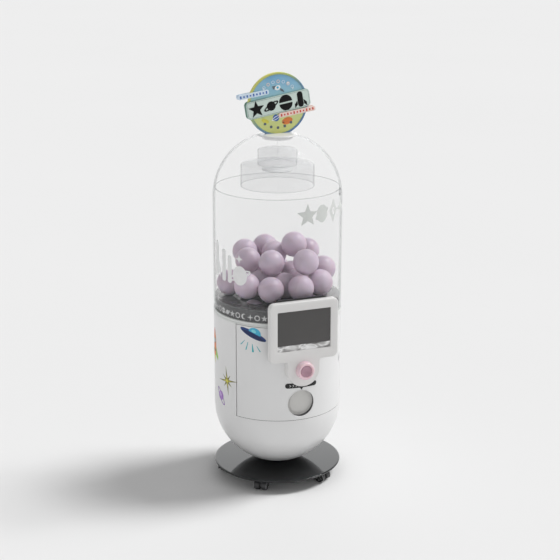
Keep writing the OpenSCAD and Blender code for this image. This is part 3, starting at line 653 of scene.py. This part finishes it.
def glyph(kind, size):
    """A generic motif of the given height, as a list of even-odd loop sets."""
    h = size / 2
    if kind == 0:
        return [[star(0, 0, h * 1.08, h * 0.46)]]
    if kind == 1:
        return [[circ(0, 0, h * 0.95, 40), circ(0, 0, h * 0.62, 40)]]
    if kind == 2:
        return [[circ(0, h * 0.10, h * 0.86, 28, a0=0, a1=180)],
                [circ(0, -h * 0.10, h * 0.86, 28, a0=180, a1=360)]]
    if kind == 3:
        return [[crescent(0, 0, h * 0.92)]]
    if kind == 4:
        return [[star(0, 0, h * 1.12, h * 0.3, 4)]]
    if kind == 5:
        ring_out = circ(0, 0, h * 1.35, 48, h * 0.42, 24)
        ring_in = circ(0, 0, h * 1.08, 48, h * 0.22, 24)
        return [[circ(0, 0, h * 0.72, 40)], [ring_out, ring_in]]
    if kind == 6:
        return [[rrect(-h * 0.36, -h * 0.95, h * 0.36, h * 0.95, h * 0.34, 6)],
                [[(-h * 0.8, -h * 0.95), (-h * 0.42, -h * 0.62), (-h * 0.42, -h * 0.1),
                  (-h * 0.8, -h * 0.5)]],
                [[(h * 0.8, -h * 0.95), (h * 0.8, -h * 0.5), (h * 0.42, -h * 0.1), (h * 0.42, -h * 0.62)]]]
    return [[circ(0, 0, h * 0.4, 24)]]


s = Shape()
order = [1, 0, 3, 2, 4, 1, 2, 5, 0, 1, 3, 4]
count = 54
for i in range(count):
    for j, loops in enumerate(glyph(order[i % 12], 24)):
        s.flat(loops, 0.02 + 0.03 * j, 0.3 + 0.03 * j, band_print,
               bend=(bhi.x, 360 * i / count, (blo.z + bhi.z) / 2 - 4))
s.done("band_motifs", "cabinet")

# ---- capsules ----

def seam_places(node):
    """A matrix in mm for each half capsule of a CAD node, Z along its axis, read off its flat seam."""
    bm = bmesh.new()
    bm.from_mesh(nodes[node].data)
    bmesh.ops.remove_doubles(bm, verts=bm.verts, dist=SEAM_WELD)
    places, seen = [], set()
    for start in bm.faces:
        if start in seen:
            continue
        seen.add(start)
        island, todo = [], [start]
        while todo:
            face = todo.pop()
            island.append(face)
            for near in (g for e in face.edges for g in e.link_faces):
                if near not in seen:
                    seen.add(near)
                    todo.append(near)
        facing = {}
        for face in island:
            facing.setdefault(tuple(round(v, 2) for v in face.normal), []).append(face)
        flat = max(facing.values(), key=lambda faces: sum(f.calc_area() for f in faces))
        down = sum((f.normal * f.calc_area() for f in flat), Vector()).normalized()
        level = max(f.calc_center_median().dot(down) for f in island)
        seam = [f for f in island if f.calc_center_median().dot(down) > level - SEAM_FLAT]
        size = sum(f.calc_area() for f in seam)
        middle = sum((f.calc_center_median() * f.calc_area() for f in seam), Vector()) * 1000 / size
        turn, tilt = math.atan2(-down.x, down.y), math.acos(-down.z)
        places.append(at(*middle) @ Matrix.Rotation(turn, 4, "Z") @ Matrix.Rotation(tilt, 4, "X"))
    bm.free()
    return places


def half(rr, seam, top):
    pts = [(rr - CAPSULE_WALL, seam), (rr - 0.5, seam), (rr - 0.05, seam + 0.8), (rr, seam + 1.6)]
    pts += [(rr * math.cos(a), rr * math.sin(a)) for a in (PI / 2 * k / 20 for k in range(1, 20))
            if rr * math.sin(a) > seam + 2.4]
    if top:
        pts += [(4.0, math.sqrt(rr * rr - 16)), (3.4, rr - 1.1), (0, rr - 1.1)]
    else:
        pts += [(0, rr)]
    inner_r = rr - CAPSULE_WALL
    back = [(inner_r * math.cos(PI / 24 * k), inner_r * math.sin(PI / 24 * k)) for k in range(12, 0, -1)]
    return pts + [(0, inner_r)] + [(r, z) for r, z in back if r > 1]


top_shape, low_shape = Shape(), Shape()
for m in seam_places("capsule_tops"):
    top_shape.lathe(half(CAPSULE_R, 0.05, True), lilac, m, seg=56, closed=False)
    low_shape.lathe(half(CAPSULE_R, 0.05, False), lilac_deep, m @ Matrix.Rotation(PI, 4, "X"), seg=56,
                    closed=False)
top_shape.done("capsule_upper_halves", "cabinet", ["capsule_tops"], "lilac_capsule")
low_shape.done("capsule_lower_halves", "cabinet", ["capsule_bottoms"], "lilac_capsule")

# ---- lamp, collar, sign ----

lo, hi = cad("dome_collar")
s = Shape()
s.lathe(rounded([(0, lo.z), (57.8, lo.z, 0.5), (57.8, hi.z - 7.6), (hi.x, hi.z - 7.6, 1.5),
                 (hi.x, hi.z - 2.8, 3),
                 (hi.x - 9, hi.z - 0.4, 4), (hi.x - 20, hi.z, 3), (0, hi.z)], 5, closed=False), white,
        seg=128,
        closed=False)
s.done("collar_cap", "lift_off_top", ["dome_collar"], "white_shell")

for name, node, top, seg in (("lamp_small_shade", "lamp_upper_drum", 2.0, 112),
                             ("lamp_wide_shade", "lamp_lower_drum", 2.4, 128)):
    lo, hi = cad(node)
    r = hi.x
    s = Shape()
    s.lathe(rounded([(r, lo.z + 1.2), (r, hi.z, 2.2), (2.6, hi.z), (2.6, hi.z - top),
                     (r - 2, hi.z - top, 1.5),
                     (r - 2, lo.z + 1.2)], 5), frosted, seg=seg)
    s.lathe(rounded([(r, lo.z + 1.15), (r, lo.z, 0.5), (r - 2, lo.z, 0.5), (r - 2, lo.z + 1.15)], 3),
            drum_edge,
            seg=seg)
    s.done(name, "lift_off_top", [node], "frosted_acrylic", angle=40)

s = Shape()
d = SIGN_D
s.lathe(rounded([(SIGN_R, -d, 2.0), (SIGN_R, d, 2.0), (SIGN_R - 4.9, d, 1.2), (SIGN_R - 4.9, -d, 1.2)], 4),
        sign_edge,
        at(0, 0, SIGN_Z) @ FRONT, seg=144)
s.done("sign_rim", "lift_off_top", ["sign_case"], "sign_edge")

F = SIGN_D - 1
for name, node, m in (("sign_art_front", "sign_face", FRONT), ("sign_art_back", "sign_back", BACK)):
    s = Shape()
    m = at(0, 0, SIGN_Z) @ m
    s.lathe(rounded([(0, F - 2.8), (SIGN_R - 5.1, F - 2.8), (SIGN_R - 5.1, F, 0.5), (0, F)], 3,
                    closed=False), sign_print,
            m, seg=144, closed=False)
    s.flat([circ(0, 0, SIGN_R - 5.2, 120), circ(0, 0, SIGN_R - 7.6, 120)], F + 0.05, F + 0.8, sign_edge, m,
           0.2)
    s.flat([circ(0, 0, SIGN_R - 8.0, 120), circ(0, 0, SIGN_R - 9.2, 120)], F + 0.05, F + 0.5, ink["sage"],
           m)
    # small craft
    s.flat([circ(-2, 62, 12, 24, 9, 20)], F + 0.1, F + 1.2, ink["sign_white"], m, 0.3)
    s.flat([[(-24, 68), (-10, 70), (-8, 60), (-20, 56)]], F + 0.1, F + 0.9, ink["grey"], m)
    s.flat([[(6, 62), (20, 54), (26, 44), (10, 50)]], F + 0.1, F + 0.9, ink["grey"], m)
    s.flat([circ(-2, 63, 4.5, 20)], F + 1.1, F + 1.6, ink["cyan"], m)
    # ringed ball and an orange patch
    s.flat([circ(-8, -52, 13, 32)], F + 0.1, F + 1.2, ink["blue"], m, 0.3)
    s.flat([circ(-8, -52, 20, 40, 6, 28), circ(-8, -52, 16.5, 40, 3.4, 28)], F + 1.0, F + 1.5,
           ink["sign_white"], m)
    s.flat([circ(38, -66, 22, 32, 13, 14)], F + 0.1, F + 0.7, ink["orange"], m, 0.2)
    s.flat([circ(-52, -62, 16, 32, 8, -24)], F + 0.1, F + 0.7, ink["yellow"], m, 0.2)
    # dots above and below
    for k in range(7):
        a = math.radians(48 + 14 * k)
        x, y = 86 * math.cos(a), 86 * math.sin(a)
        s.flat([circ(x, y, 6.4, 20), circ(x, y, 4.4, 20)], F + 0.1, F + 0.9,
               ink["pale_red"] if k % 2 else ink["pale_blue"],
               m)
    for k in range(5):
        a = math.radians(-126 + 18 * k)
        s.flat([rrect(90 * math.cos(a) - 5, 90 * math.sin(a) - 5, 90 * math.cos(a) + 5,
                      90 * math.sin(a) + 5, 3, 4)],
               F + 0.1, F + 0.9, ink["grey"], m)
    for x, y, r in ((40, 78, 3), (60, 58, 2.4), (-58, 60, 2.6), (22, -70, 2.6), (50, -44, 3)):
        s.flat([star(x, y, 2.4 * r, 0.8 * r, 4)], F + 0.1, F + 0.7, ink["sign_white"], m)
    s.done(name, "lift_off_top", [node], "sign_print")

s = Shape()
for m, f in ((FRONT, 1), (BACK, -1)):
    m = at(0, 0, SIGN_Z) @ m
    banner = shift(rrect(-130, -34, 130, 34, 15), rot=9.5 * f)
    s.pad(banner, SIGN_D, SIGN_D + 4.0, ink["sage"], m, 0.8)
    s.pad(inset(banner, 1.4), SIGN_D + 3.6, SIGN_D + 4.6, banner_pale, m, 0.4)
    line = inset(banner, 4.0)
    s.flat([line, inset(line, 0.9)], SIGN_D + 4.55, SIGN_D + 4.9, ink["grey"], m)
    for k, kind in enumerate((0, 5, 2, 6)):
        for j, loops in enumerate(glyph(kind, 62 if kind != 5 else 49)):
            loops = [shift(q, *shift([(f * (-90 + 60 * k), 0)], rot=9.5 * f)[0],
                           rot=9.5 * f) for q in loops]
            s.flat(loops, SIGN_D + 4.5, SIGN_D + 5.6 + 0.1 * j, ink["black"], m, 0.3, 1)
    for cx, cy, w, plate, bar in ((-101 * f, 41, 62, "pale_blue", "blue"),
                                  (76 * f, -33, 75, "pale_red", "red")):
        s.pad(shift(rrect(-w, -9, w, 9, 6), cx, cy, 8 * f), SIGN_D, SIGN_D + 6.4, ink[plate], m, 0.8)
        n = 9 if w < 70 else 11
        for k in range(n):
            x = -w + 10 + (2 * w - 20) * k / (n - 1)
            hgt = (5.2, 3.4, 4.6, 2.8)[k % 4]
            s.flat([shift(rrect(x - 2.8, -hgt, x + 2.8, hgt, 1.4, 3), cx, cy, 8 * f)], SIGN_D + 6.3,
                   SIGN_D + 6.9, ink[bar], m)
s.done("sign_banners", "lift_off_top", ["sign_plates"], "sign_white")

# ---- display ----

zlo, zhi = cad("display_bezel")
front = -zlo.y
half_w = zhi.x
z0, z1 = 555.0, zhi.z
tab_r, tab_z = 67.0, zlo.z + 67.0
wall_y = front - 22


def bezel_outline():
    n = 8
    out = []

    def arc(cx, cy, r, a0, a1, k):
        for i in range(k + 1):
            a = math.radians(a0 + (a1 - a0) * i / k)
            out.append((cx + r * math.cos(a), cy + r * math.sin(a)))

    arc(half_w - 22, z0 + 22, 22, -90, 0, n)
    arc(half_w - 22, z1 - 22, 22, 0, 90, n)
    arc(-half_w + 22, z1 - 22, 22, 90, 180, n)
    arc(-half_w + 22, z0 + 22, 22, 180, 270, n)
    arc(-tab_r - 7, z0 - 7, 7, 90, 0, 5)
    arc(0, tab_z, tab_r, 180, 360, 40)
    arc(tab_r + 7, z0 - 7, 7, 180, 90, 5)
    return out


outline = bezel_outline()


def back_y(x, z):
    if z < z0 - 0.5:
        return math.sqrt(max(0.0, R * R - x * x)) + 0.25
    return wall_y


rows = []
for d, y in ((0.0, None), (0.0, front - 5.0), (0.19, front - 3.6), (0.73, front - 2.5),
             (1.46, front - 1.46),
             (2.5, front - 0.73), (3.6, front - 0.19), (5.0, front)):
    rows.append([(x, z, back_y(x, z) if y is None else y) for x, z in inset(outline, d)])
inner_rows = []
for d, y in ((4.0, front - 4.5), (4.0, None)):
    inner_rows.append([(x, z, back_y(x, z) if y is None else y) for x, z in inset(outline, d)])
wx = 108.5
wz0, wz1 = 597.0, 755.0
window = rrect(-wx, wz0, wx, wz1, 3, 4)
s = Shape()
k = s.slot(panel_white)
front_rows = s.loft(rows, panel_white, FRONT, caps=False)
back_rows = s.loft(inner_rows, panel_white, FRONT, caps=False)
for i in range(len(outline)):
    j = (i + 1) % len(outline)
    s.face((front_rows[0][i], front_rows[0][j], back_rows[1][j], back_rows[1][i]), k)
win_rows = s.loft([[(x, z, y) for x, z in inset(window, d)] for d, y in
                   ((-2.2, front), (-0.6, front - 0.5), (0.0, front - 1.6), (0.0, front - 4.5))],
                  panel_white, FRONT,
                  caps=False)
button_z = sum(v.z for v in cad("button_housing")) / 2
hole_rows = s.loft([[(x, z, y) for x, z in circ(0, button_z, 28.2, 64)] for y in (front, front - 4.5)],
                   panel_white,
                   FRONT, caps=False)
for loops in ((front_rows[-1], win_rows[0], hole_rows[0]), (back_rows[0], win_rows[-1], hole_rows[-1])):
    edges = []
    for loop in loops:
        for i in range(len(loop)):
            e = s.bm.edges.get((loop[i], loop[(i + 1) % len(loop)]))
            edges.append(e)
    res = bmesh.ops.triangle_fill(s.bm, use_beauty=True, use_dissolve=False, edges=edges)
    for f in res["geom"]:
        if isinstance(f, bmesh.types.BMFace):
            f.material_index = k
s.done("bezel_frame", "door", ["display_bezel"], "white_shell", angle=30)

glo, ghi = cad("display_glass")
s = Shape()
s.pad(rrect(glo.x, glo.z, ghi.x, ghi.z, 2, 3), -ghi.y, -glo.y, screen, FRONT, 0.3)
s.done("screen_cover", "door", ["display_glass"], "screen_glass")
tlo, thi = cad("display_trim")
s = Shape()
cols = 72
rows = []
for j in range(11):
    v = j / 10
    row = []
    for i in range(cols + 1):
        u = i / cols
        x = tlo.x + (thi.x - tlo.x) * u
        z = tlo.z + (thi.z - tlo.z) * v
        dip = 0.35 * math.sin(6.1 * u * PI + 1.3) * math.sin(PI * v) + 0.2 * math.sin(13 * u * PI + 4 * v)
        row.append((x, z, -tlo.y - 0.8 + dip * 0.8))
    rows.append(row)
k = s.slot(mirror)
top = [[s.bm.verts.new(FRONT @ Vector(p)) for p in row] for row in rows]
bot = [[s.bm.verts.new(FRONT @ Vector((p[0], p[1], -thi.y))) for p in row] for row in rows]
for a, b in zip(top, top[1:]):
    for i in range(cols):
        s.face((a[i], a[i + 1], b[i + 1], b[i]), k)
for a, b in zip(bot, bot[1:]):
    for i in range(cols):
        s.face((a[i], a[i + 1], b[i + 1], b[i]), k)
for a, b in ((top[0], bot[0]), (top[-1], bot[-1]), ([r[0] for r in top], [r[0] for r in bot]),
             ([r[-1] for r in top], [r[-1] for r in bot])):
    for i in range(len(a) - 1):
        s.face((a[i], a[i + 1], b[i + 1], b[i]), k)
s.done("mirror_strip", "door", ["display_trim"], "trim_chrome")

# ---- button, label, outlet, lock ----

lo, hi = cad("button_housing")
bz = (lo.z + hi.z) / 2
m = at(0, 0, bz) @ FRONT
s = Shape()
s.lathe(rounded([(22.42, 270), (22.42, 296, 1), (24.2, 300.5, 2), (27.6, 302.9, 3), (31.5, 302.0, 3),
                 (34, 297, 4),
                 (34, front + 3, 2), (35.2, front + 0.3), (28, front + 0.3), (28, 257.2, 1), (25, 257.2),
                 (25, 270)],
                5), pink_light, m, seg=96)
s.done("button_ring", "door", ["button_housing"], "pink_light")
s = Shape()
face = [(22.3, 283.6), (22.3, 298.2), (21.9, 298.9), (21.0, 299.0)]
face += [(r, 335 - math.sqrt(41 ** 2 - r * r)) for r in (19, 17, 15, 12.5, 10, 7.5, 5, 2.5)]
face = [(r, min(z, 299.0)) for r, z in face] + [(0, 294.0)]
s.lathe([(0, 287), (19, 287), (19, 279.2), (24.4, 279.2), (24.4, 283.5)] + face, pink_dark, m, seg=96,
        closed=False)
s.done("button_cap", "button", ["button_plunger"], "pink_dark")

llo, lhi = cad("direction_label")
s = Shape()
pill = rrect(-65, -10, 65, 10, 9.8, 10)
s.flat([pill], -2.0, 1.2, label_black, bend=(R + 0.3, 0, LABEL_Z), bevel=0.5)
s.flat([[(-7, -9), (7, -9), (0, -19)]], -2.0, 1.1, label_black, bend=(R + 0.3, 0, LABEL_Z))
for k in range(4):
    x = -46 + 12 * k
    s.flat([[(x - 3, -4), (x + 2, 0), (x - 3, 4), (x - 0.6, 4), (x + 4.4, 0), (x - 0.6, -4)]], 1.15, 1.45,
           label_white, bend=(R + 0.3, 0, LABEL_Z))
s.done("direction_plate", "door", ["direction_label"], "black_gloss")



def saddle_rings(profile):
    """Circles round the outlet that follow the cabinet; profile is (radius, height off the cabinet)."""
    rings = []
    for r, out in profile:
        ring = []
        for i in range(96):
            a = 2 * PI * i / 96
            x, up = r * math.cos(a), r * math.sin(a)
            y = math.sqrt(R * R - x * x) + out if out > -10 else OUTLET_BACK
            ring.append((x, OUTLET_Z + up, y))
        rings.append(ring)
    return rings


s = Shape()
s.loft(saddle_rings(((53.0, -16.5), (53.0, -1.2), (53.25, -0.3), (54.0, 0.55), (55.0, 0.75), (55.9, 0.4),
                     (55.95, -2), (55.95, -16.5))), white, FRONT, ring=True)
# A thin dark lining just inside the ring's hole: painted shade on the hole's inner wall round the flap.
s.loft(saddle_rings(((52.5, -16.5), (52.5, -2.5), (52.95, -2.2), (52.95, -16.5))), mech_dark, FRONT,
       ring=True)
for x in (-44, 38):
    s.loft([[(px, pz, y) for px, pz in rrect(x, 406, x + 6, 440, 1, 2)] for y in (234.0, 236.8)], white,
           FRONT)
    s.loft([[(px, pz, y) for px, pz in rrect(x, 428, x + 6, 440, 1, 2)] for y in (227.8, 234.0)], white,
           FRONT)
s.done("outlet_ring", "door", ["outlet_frame"], "white_shell")

s = Shape()
m = at(0, 0, OUTLET_Z) @ FRONT
s.lathe(rounded([(0, 230.8), (54.6, 230.8, 0.5), (54.6, 233.6, 0.7), (50.5, 233.6), (49.6, 232.6, 0.6),
                 (44.5, 232.6, 0.6),
                 (43.4, 233.4, 0.6), (0, 233.4)], 4, closed=False), flap_grey, m, seg=96, closed=False)
s.pad(rrect(-15, -41, 15, -33, 3.8, 6), 233.3, 233.7, flap_grey, m, 0.2)
s.loft([[(x, z, y) for x, z in rrect(-30, 408, 30, 434, 2, 3)] for y in (230.8, 233.6)], flap_grey, FRONT)
s.lathe([(2.07, -37.4), (4.15, -37.4), (4.15, 37.4), (2.07, 37.4)], flap_grey,
        at(0, -233, 434) @ Matrix.Rotation(PI / 2, 4, "Y"), seg=32)
s.done("flap_disc", "flap", ["outlet_flap"], "flap_grey")

wall_m = Matrix.Rotation(math.radians(54.5 - 90), 4, "Z") @ at(0, 0, 500) @ Matrix.Rotation(PI / 2, 4, "Y")
s = Shape()
s.lathe(rounded([(8.08, R - 9.9), (11, R - 9.9, 0.6), (11, R + 0.3), (14, R + 0.3, 0.3), (14, R + 1.4, 0.8),
                 (10.5, R + 2.3, 0.8), (8.08, R + 2.3, 0.4)], 3), satin_steel, wall_m, seg=64)
s.done("lock_barrel", "door", ["lock_housing"], "zinc_steel")

# ---- stickers on cabinet and shell ----

s = Shape()
B0 = 0.06
# star
spot = (R, -73, 436)
s.flat([star(0, 0, 60, 7, 4, 98)], B0, 0.26, ink["olive"], bend=spot)
s.flat([star(0, 0, 34, 7, 4, 53)], B0 + 0.05, 0.3, ink["olive"], bend=spot)
s.flat([star(0, 0, 26, 5, 4, 98)], 0.27, 0.38, ink["yellow"], bend=spot)
s.flat([circ(0, 0, 10, 24)], 0.3, 0.44, ink["yellow_line"], bend=spot)
s.flat([circ(0, 0, 7, 24)], 0.4, 0.52, ink["yellow"], bend=spot)
# ringed ball
spot = (R, -83.5, 362)
s.flat([circ(0, 0, 19, 40)], B0, 0.26, ink["purple"], bend=spot)
s.flat([circ(-4, 5, 13, 30, 9, 30)], 0.2, 0.32, ink["lilac_print"], bend=spot)
s.flat([circ(0, -2, 41, 56, 12.5, -50), circ(0, -2, 36.5, 56, 9, -50)], 0.3, 0.46, ink["purple_line"],
       bend=spot)
# rocket at the left edge
spot = (R, -100, 560)
s.flat([rounded([(-16, -52), (-24, -20, 6), (-20, 20, 8), (0, 62, 3), (20, 20, 8), (24, -20, 6), (16, -52)],
                4)], B0, 0.26,
       ink["orange"], bend=spot)
s.flat([[(-12, 40), (12, 40), (0, 62)]], 0.22, 0.34, ink["red"], bend=spot)
s.flat([rrect(-21, -34, 21, -26, 2, 3)], 0.22, 0.34, ink["brown"], bend=spot)
for f in (-1, 1):
    fin = [(f * 23, -14), (f * 46, -46), (f * 44, -62), (f * 17, -48)]
    s.flat([fin if f < 0 else fin[::-1]], B0, 0.24, ink["green"], bend=spot)
s.flat([circ(0, 8, 10, 28)], 0.2, 0.36, ink["cyan_pale"], bend=spot)
s.flat([circ(0, 8, 13, 28), circ(0, 8, 10, 28)], 0.2, 0.4, ink["brown"], bend=spot)
s.flat([[(-12, -53), (-6, -74), (0, -62), (6, -84), (12, -53)]], B0, 0.26, ink["yellow"], bend=spot)
s.done("cabinet_stickers", "cabinet")

s = Shape()
spot = (R, -43.7, 650)
s.flat([circ(0, 0, 57, 64, 13.5, -22)], B0, 0.26, ink["navy"], bend=spot)
s.flat([circ(1, -4, 50, 64, 7.5, -22)], 0.2, 0.34, ink["navy_dark"], bend=spot)
s.flat([circ(7, 5, 26, 40, 22, -22, 0, 180)], 0.3, 0.5, ink["cyan"], bend=spot)
s.flat([circ(4, 14, 10, 30, 6, -22)], 0.45, 0.6, ink["cyan_pale"], bend=spot)
for x0, y0, x1, y1, w in ((-34, -26, -52, -46, 6), (-20, -32, -29, -64, 5), (-2, -38, 1, -70, 8),
                          (16, -44, 30, -66, 5)):
    s.flat([[(x0 - 1, y0), (x0 + 1, y0), (x1 + w / 2, y1), (x1 - w / 2, y1)]], B0, 0.26, ink["teal"],
           bend=spot)
s.done("door_sticker", "door")

s = Shape()
spot = (R, -88, 918)
for j, loops in enumerate(glyph(6, 150)):
    s.flat([[(0.5 * x, y) for x, y in q] for q in loops], B0 + 0.1 * j, 0.3 + 0.1 * j, frost_print,
           bend=spot)
s.flat([rrect(-12, -66, 12, 60, 9, 6)], B0, 0.3, frost_print, bend=(R, -76, 905))
s.flat([rrect(-11, -52, 11, 56, 9, 6)], B0, 0.3, frost_print, bend=(R, -68, 890))
s.flat([circ(0, 0, 33, 44, 38)], B0, 0.3, frost_print, bend=(R, -56.5, 875))
s.flat([circ(0, 0, 52, 56, 15, 24), circ(0, 0, 44, 56, 8, 24)], B0 + 0.1, 0.36, frost_print,
       bend=(R, -56.5, 875))
s.flat([star(0, 0, 18, 6, 4)], B0, 0.3, frost_print, bend=(R, -57, 940))
s.done("shell_marks_left", "lift_off_top")
s = Shape()
marks = ([[star(0, 0, 46, 20, 5)]],
         [[circ(0, 0, 27, 40, 34)], [circ(0, 0, 36, 48, 13, 30), circ(0, 0, 29, 48, 7, 30)]],
         [[[(-25, 0), (0, -46), (25, 0), (0, 46)], [(-10, 0), (0, -19), (10, 0), (0, 19)]]],
         [[star(0, 0, 46, 14, 4)]])
for k, group in enumerate(marks):
    for j, loops in enumerate(group):
        s.flat(loops, B0 + 0.1 * j, 0.3 + 0.1 * j, grey_print, bend=(R, 5 + 15.2 * k, 1112))
# The small grey ring high on the right of the shell is a painted reflection on the clear shell, not a print.
s.flat([circ(0, 0, 15, 36), circ(0, 0, 8, 36)], B0, 0.3, caster_grey, bend=(R, 50, 1172))
s.done("shell_marks_right", "lift_off_top")

# ---- CAD nodes that stay; a piece above stands for every other node ----

keep = {
    "lower_shell": white, "door_panel": white, "hopper_floor": bin_floor, "caster_sockets": zinc,
    "pedestal_bolts": zinc, "door_pivot_pins": zinc, "dispenser_drum": mech_grey, "gear_motor": zinc,
    "drop_chute": mech_grey, "capsule_tray": mech_light, "controller_board": circuit,
        "power_supply": galvanised,
    "mains_inlet": label_black, "pocket_wheel": mech_dark, "pocket_capsules": lilac, "rotor_shaft": zinc,
    "agitator": mech_light, "drive_gear": mech_light, "motor_pinion": brass, "lamp_hanger": rod_clear,
    "lamp_board": lamp_white, "display_saddle": saddle_dark, "display_panel": screen_edge, "flap_pin": zinc,
    "door_screws": zinc, "lock_cam": satin_steel,
}
for name, mat in keep.items():
    ob = nodes[name]
    if ob.material_slots:
        for sl in ob.material_slots:
            sl.material = mat.mat
    else:
        ob.data.materials.append(mat.mat)

# ---- floor, lights, camera ----

SKY_0, SKY_LOW, SKY_1, SKY_HIGH, SUN = 0.34, 0.83, 0.6, 0.28, 2.38
CARD = 1.2
CARD_TOWARD = (0.356, 0.890, 0.282)
SUN_FROM = (0.592, -0.055, 0.804)
CAMERA_AT = (-2.0019, -5.0052, 2.3857)
CAMERA_TURN = (73.5915, -0.0799, -21.8866)

floor_mat = Mat("studio_floor", (233, 233, 233), 0.9, var=0.004, scale=0.5, bump=0.0,
                Specular_IOR_Level=0.0)
bm = bmesh.new()
bmesh.ops.create_grid(bm, x_segments=8, y_segments=8, size=70.0)
me = bpy.data.meshes.new("studio_floor")
bm.to_mesh(me)
bm.free()
me.materials.append(floor_mat.mat)
floor = bpy.data.objects.new("studio_floor", me)
scene.collection.objects.link(floor)

world = bpy.data.worlds.new("studio")
world.use_nodes = True
tree = world.node_tree
coord = tree.nodes.new("ShaderNodeTexCoord")
split = tree.nodes.new("ShaderNodeSeparateXYZ")
fade = tree.nodes.new("ShaderNodeValToRGB")
for e, (p, v) in zip(fade.color_ramp.elements, ((SKY_0, SKY_LOW), (SKY_1, SKY_HIGH))):
    e.position = p
    e.color = (v, v, v, 1.0)
tree.links.new(coord.outputs["Generated"], split.inputs["Vector"])
tree.links.new(split.outputs["Z"], fade.inputs["Fac"])
facing = tree.nodes.new("ShaderNodeVectorMath")
facing.operation = "DOT_PRODUCT"
facing.inputs[1].default_value = CARD_TOWARD
card = tree.nodes.new("ShaderNodeMapRange")
for sock, v in (("From Min", 0.86), ("From Max", 0.97), ("To Min", 1.0), ("To Max", 1.0 + CARD)):
    card.inputs[sock].default_value = v
card.interpolation_type = "SMOOTHSTEP"
glow = tree.nodes.new("ShaderNodeVectorMath")
glow.operation = "SCALE"
tree.links.new(coord.outputs["Generated"], facing.inputs[0])
tree.links.new(facing.outputs["Value"], card.inputs["Value"])
tree.links.new(fade.outputs["Color"], glow.inputs[0])
tree.links.new(card.outputs["Result"], glow.inputs["Scale"])
tree.links.new(glow.outputs["Vector"], tree.nodes["Background"].inputs["Color"])
tree.nodes["Background"].inputs["Strength"].default_value = 1.0
scene.world = world
sun = bpy.data.lights.new("key", "SUN")
sun.energy = SUN
sun.angle = math.radians(20)
sun_ob = bpy.data.objects.new("key", sun)
sun_ob.rotation_euler = Vector(SUN_FROM).to_track_quat("Z", "Y").to_euler()
scene.collection.objects.link(sun_ob)

cam = bpy.data.cameras.new("camera")
cam.sensor_width = 36.0
cam.lens = 92.15
cam.clip_end = 300.0
cam_ob = bpy.data.objects.new("camera", cam)
cam_ob.location = CAMERA_AT
cam_ob.rotation_euler = tuple(math.radians(v) for v in CAMERA_TURN)
scene.collection.objects.link(cam_ob)
scene.camera = cam_ob
scene.view_settings.view_transform = "Standard"
scene.cycles.transparent_max_bounces = 40
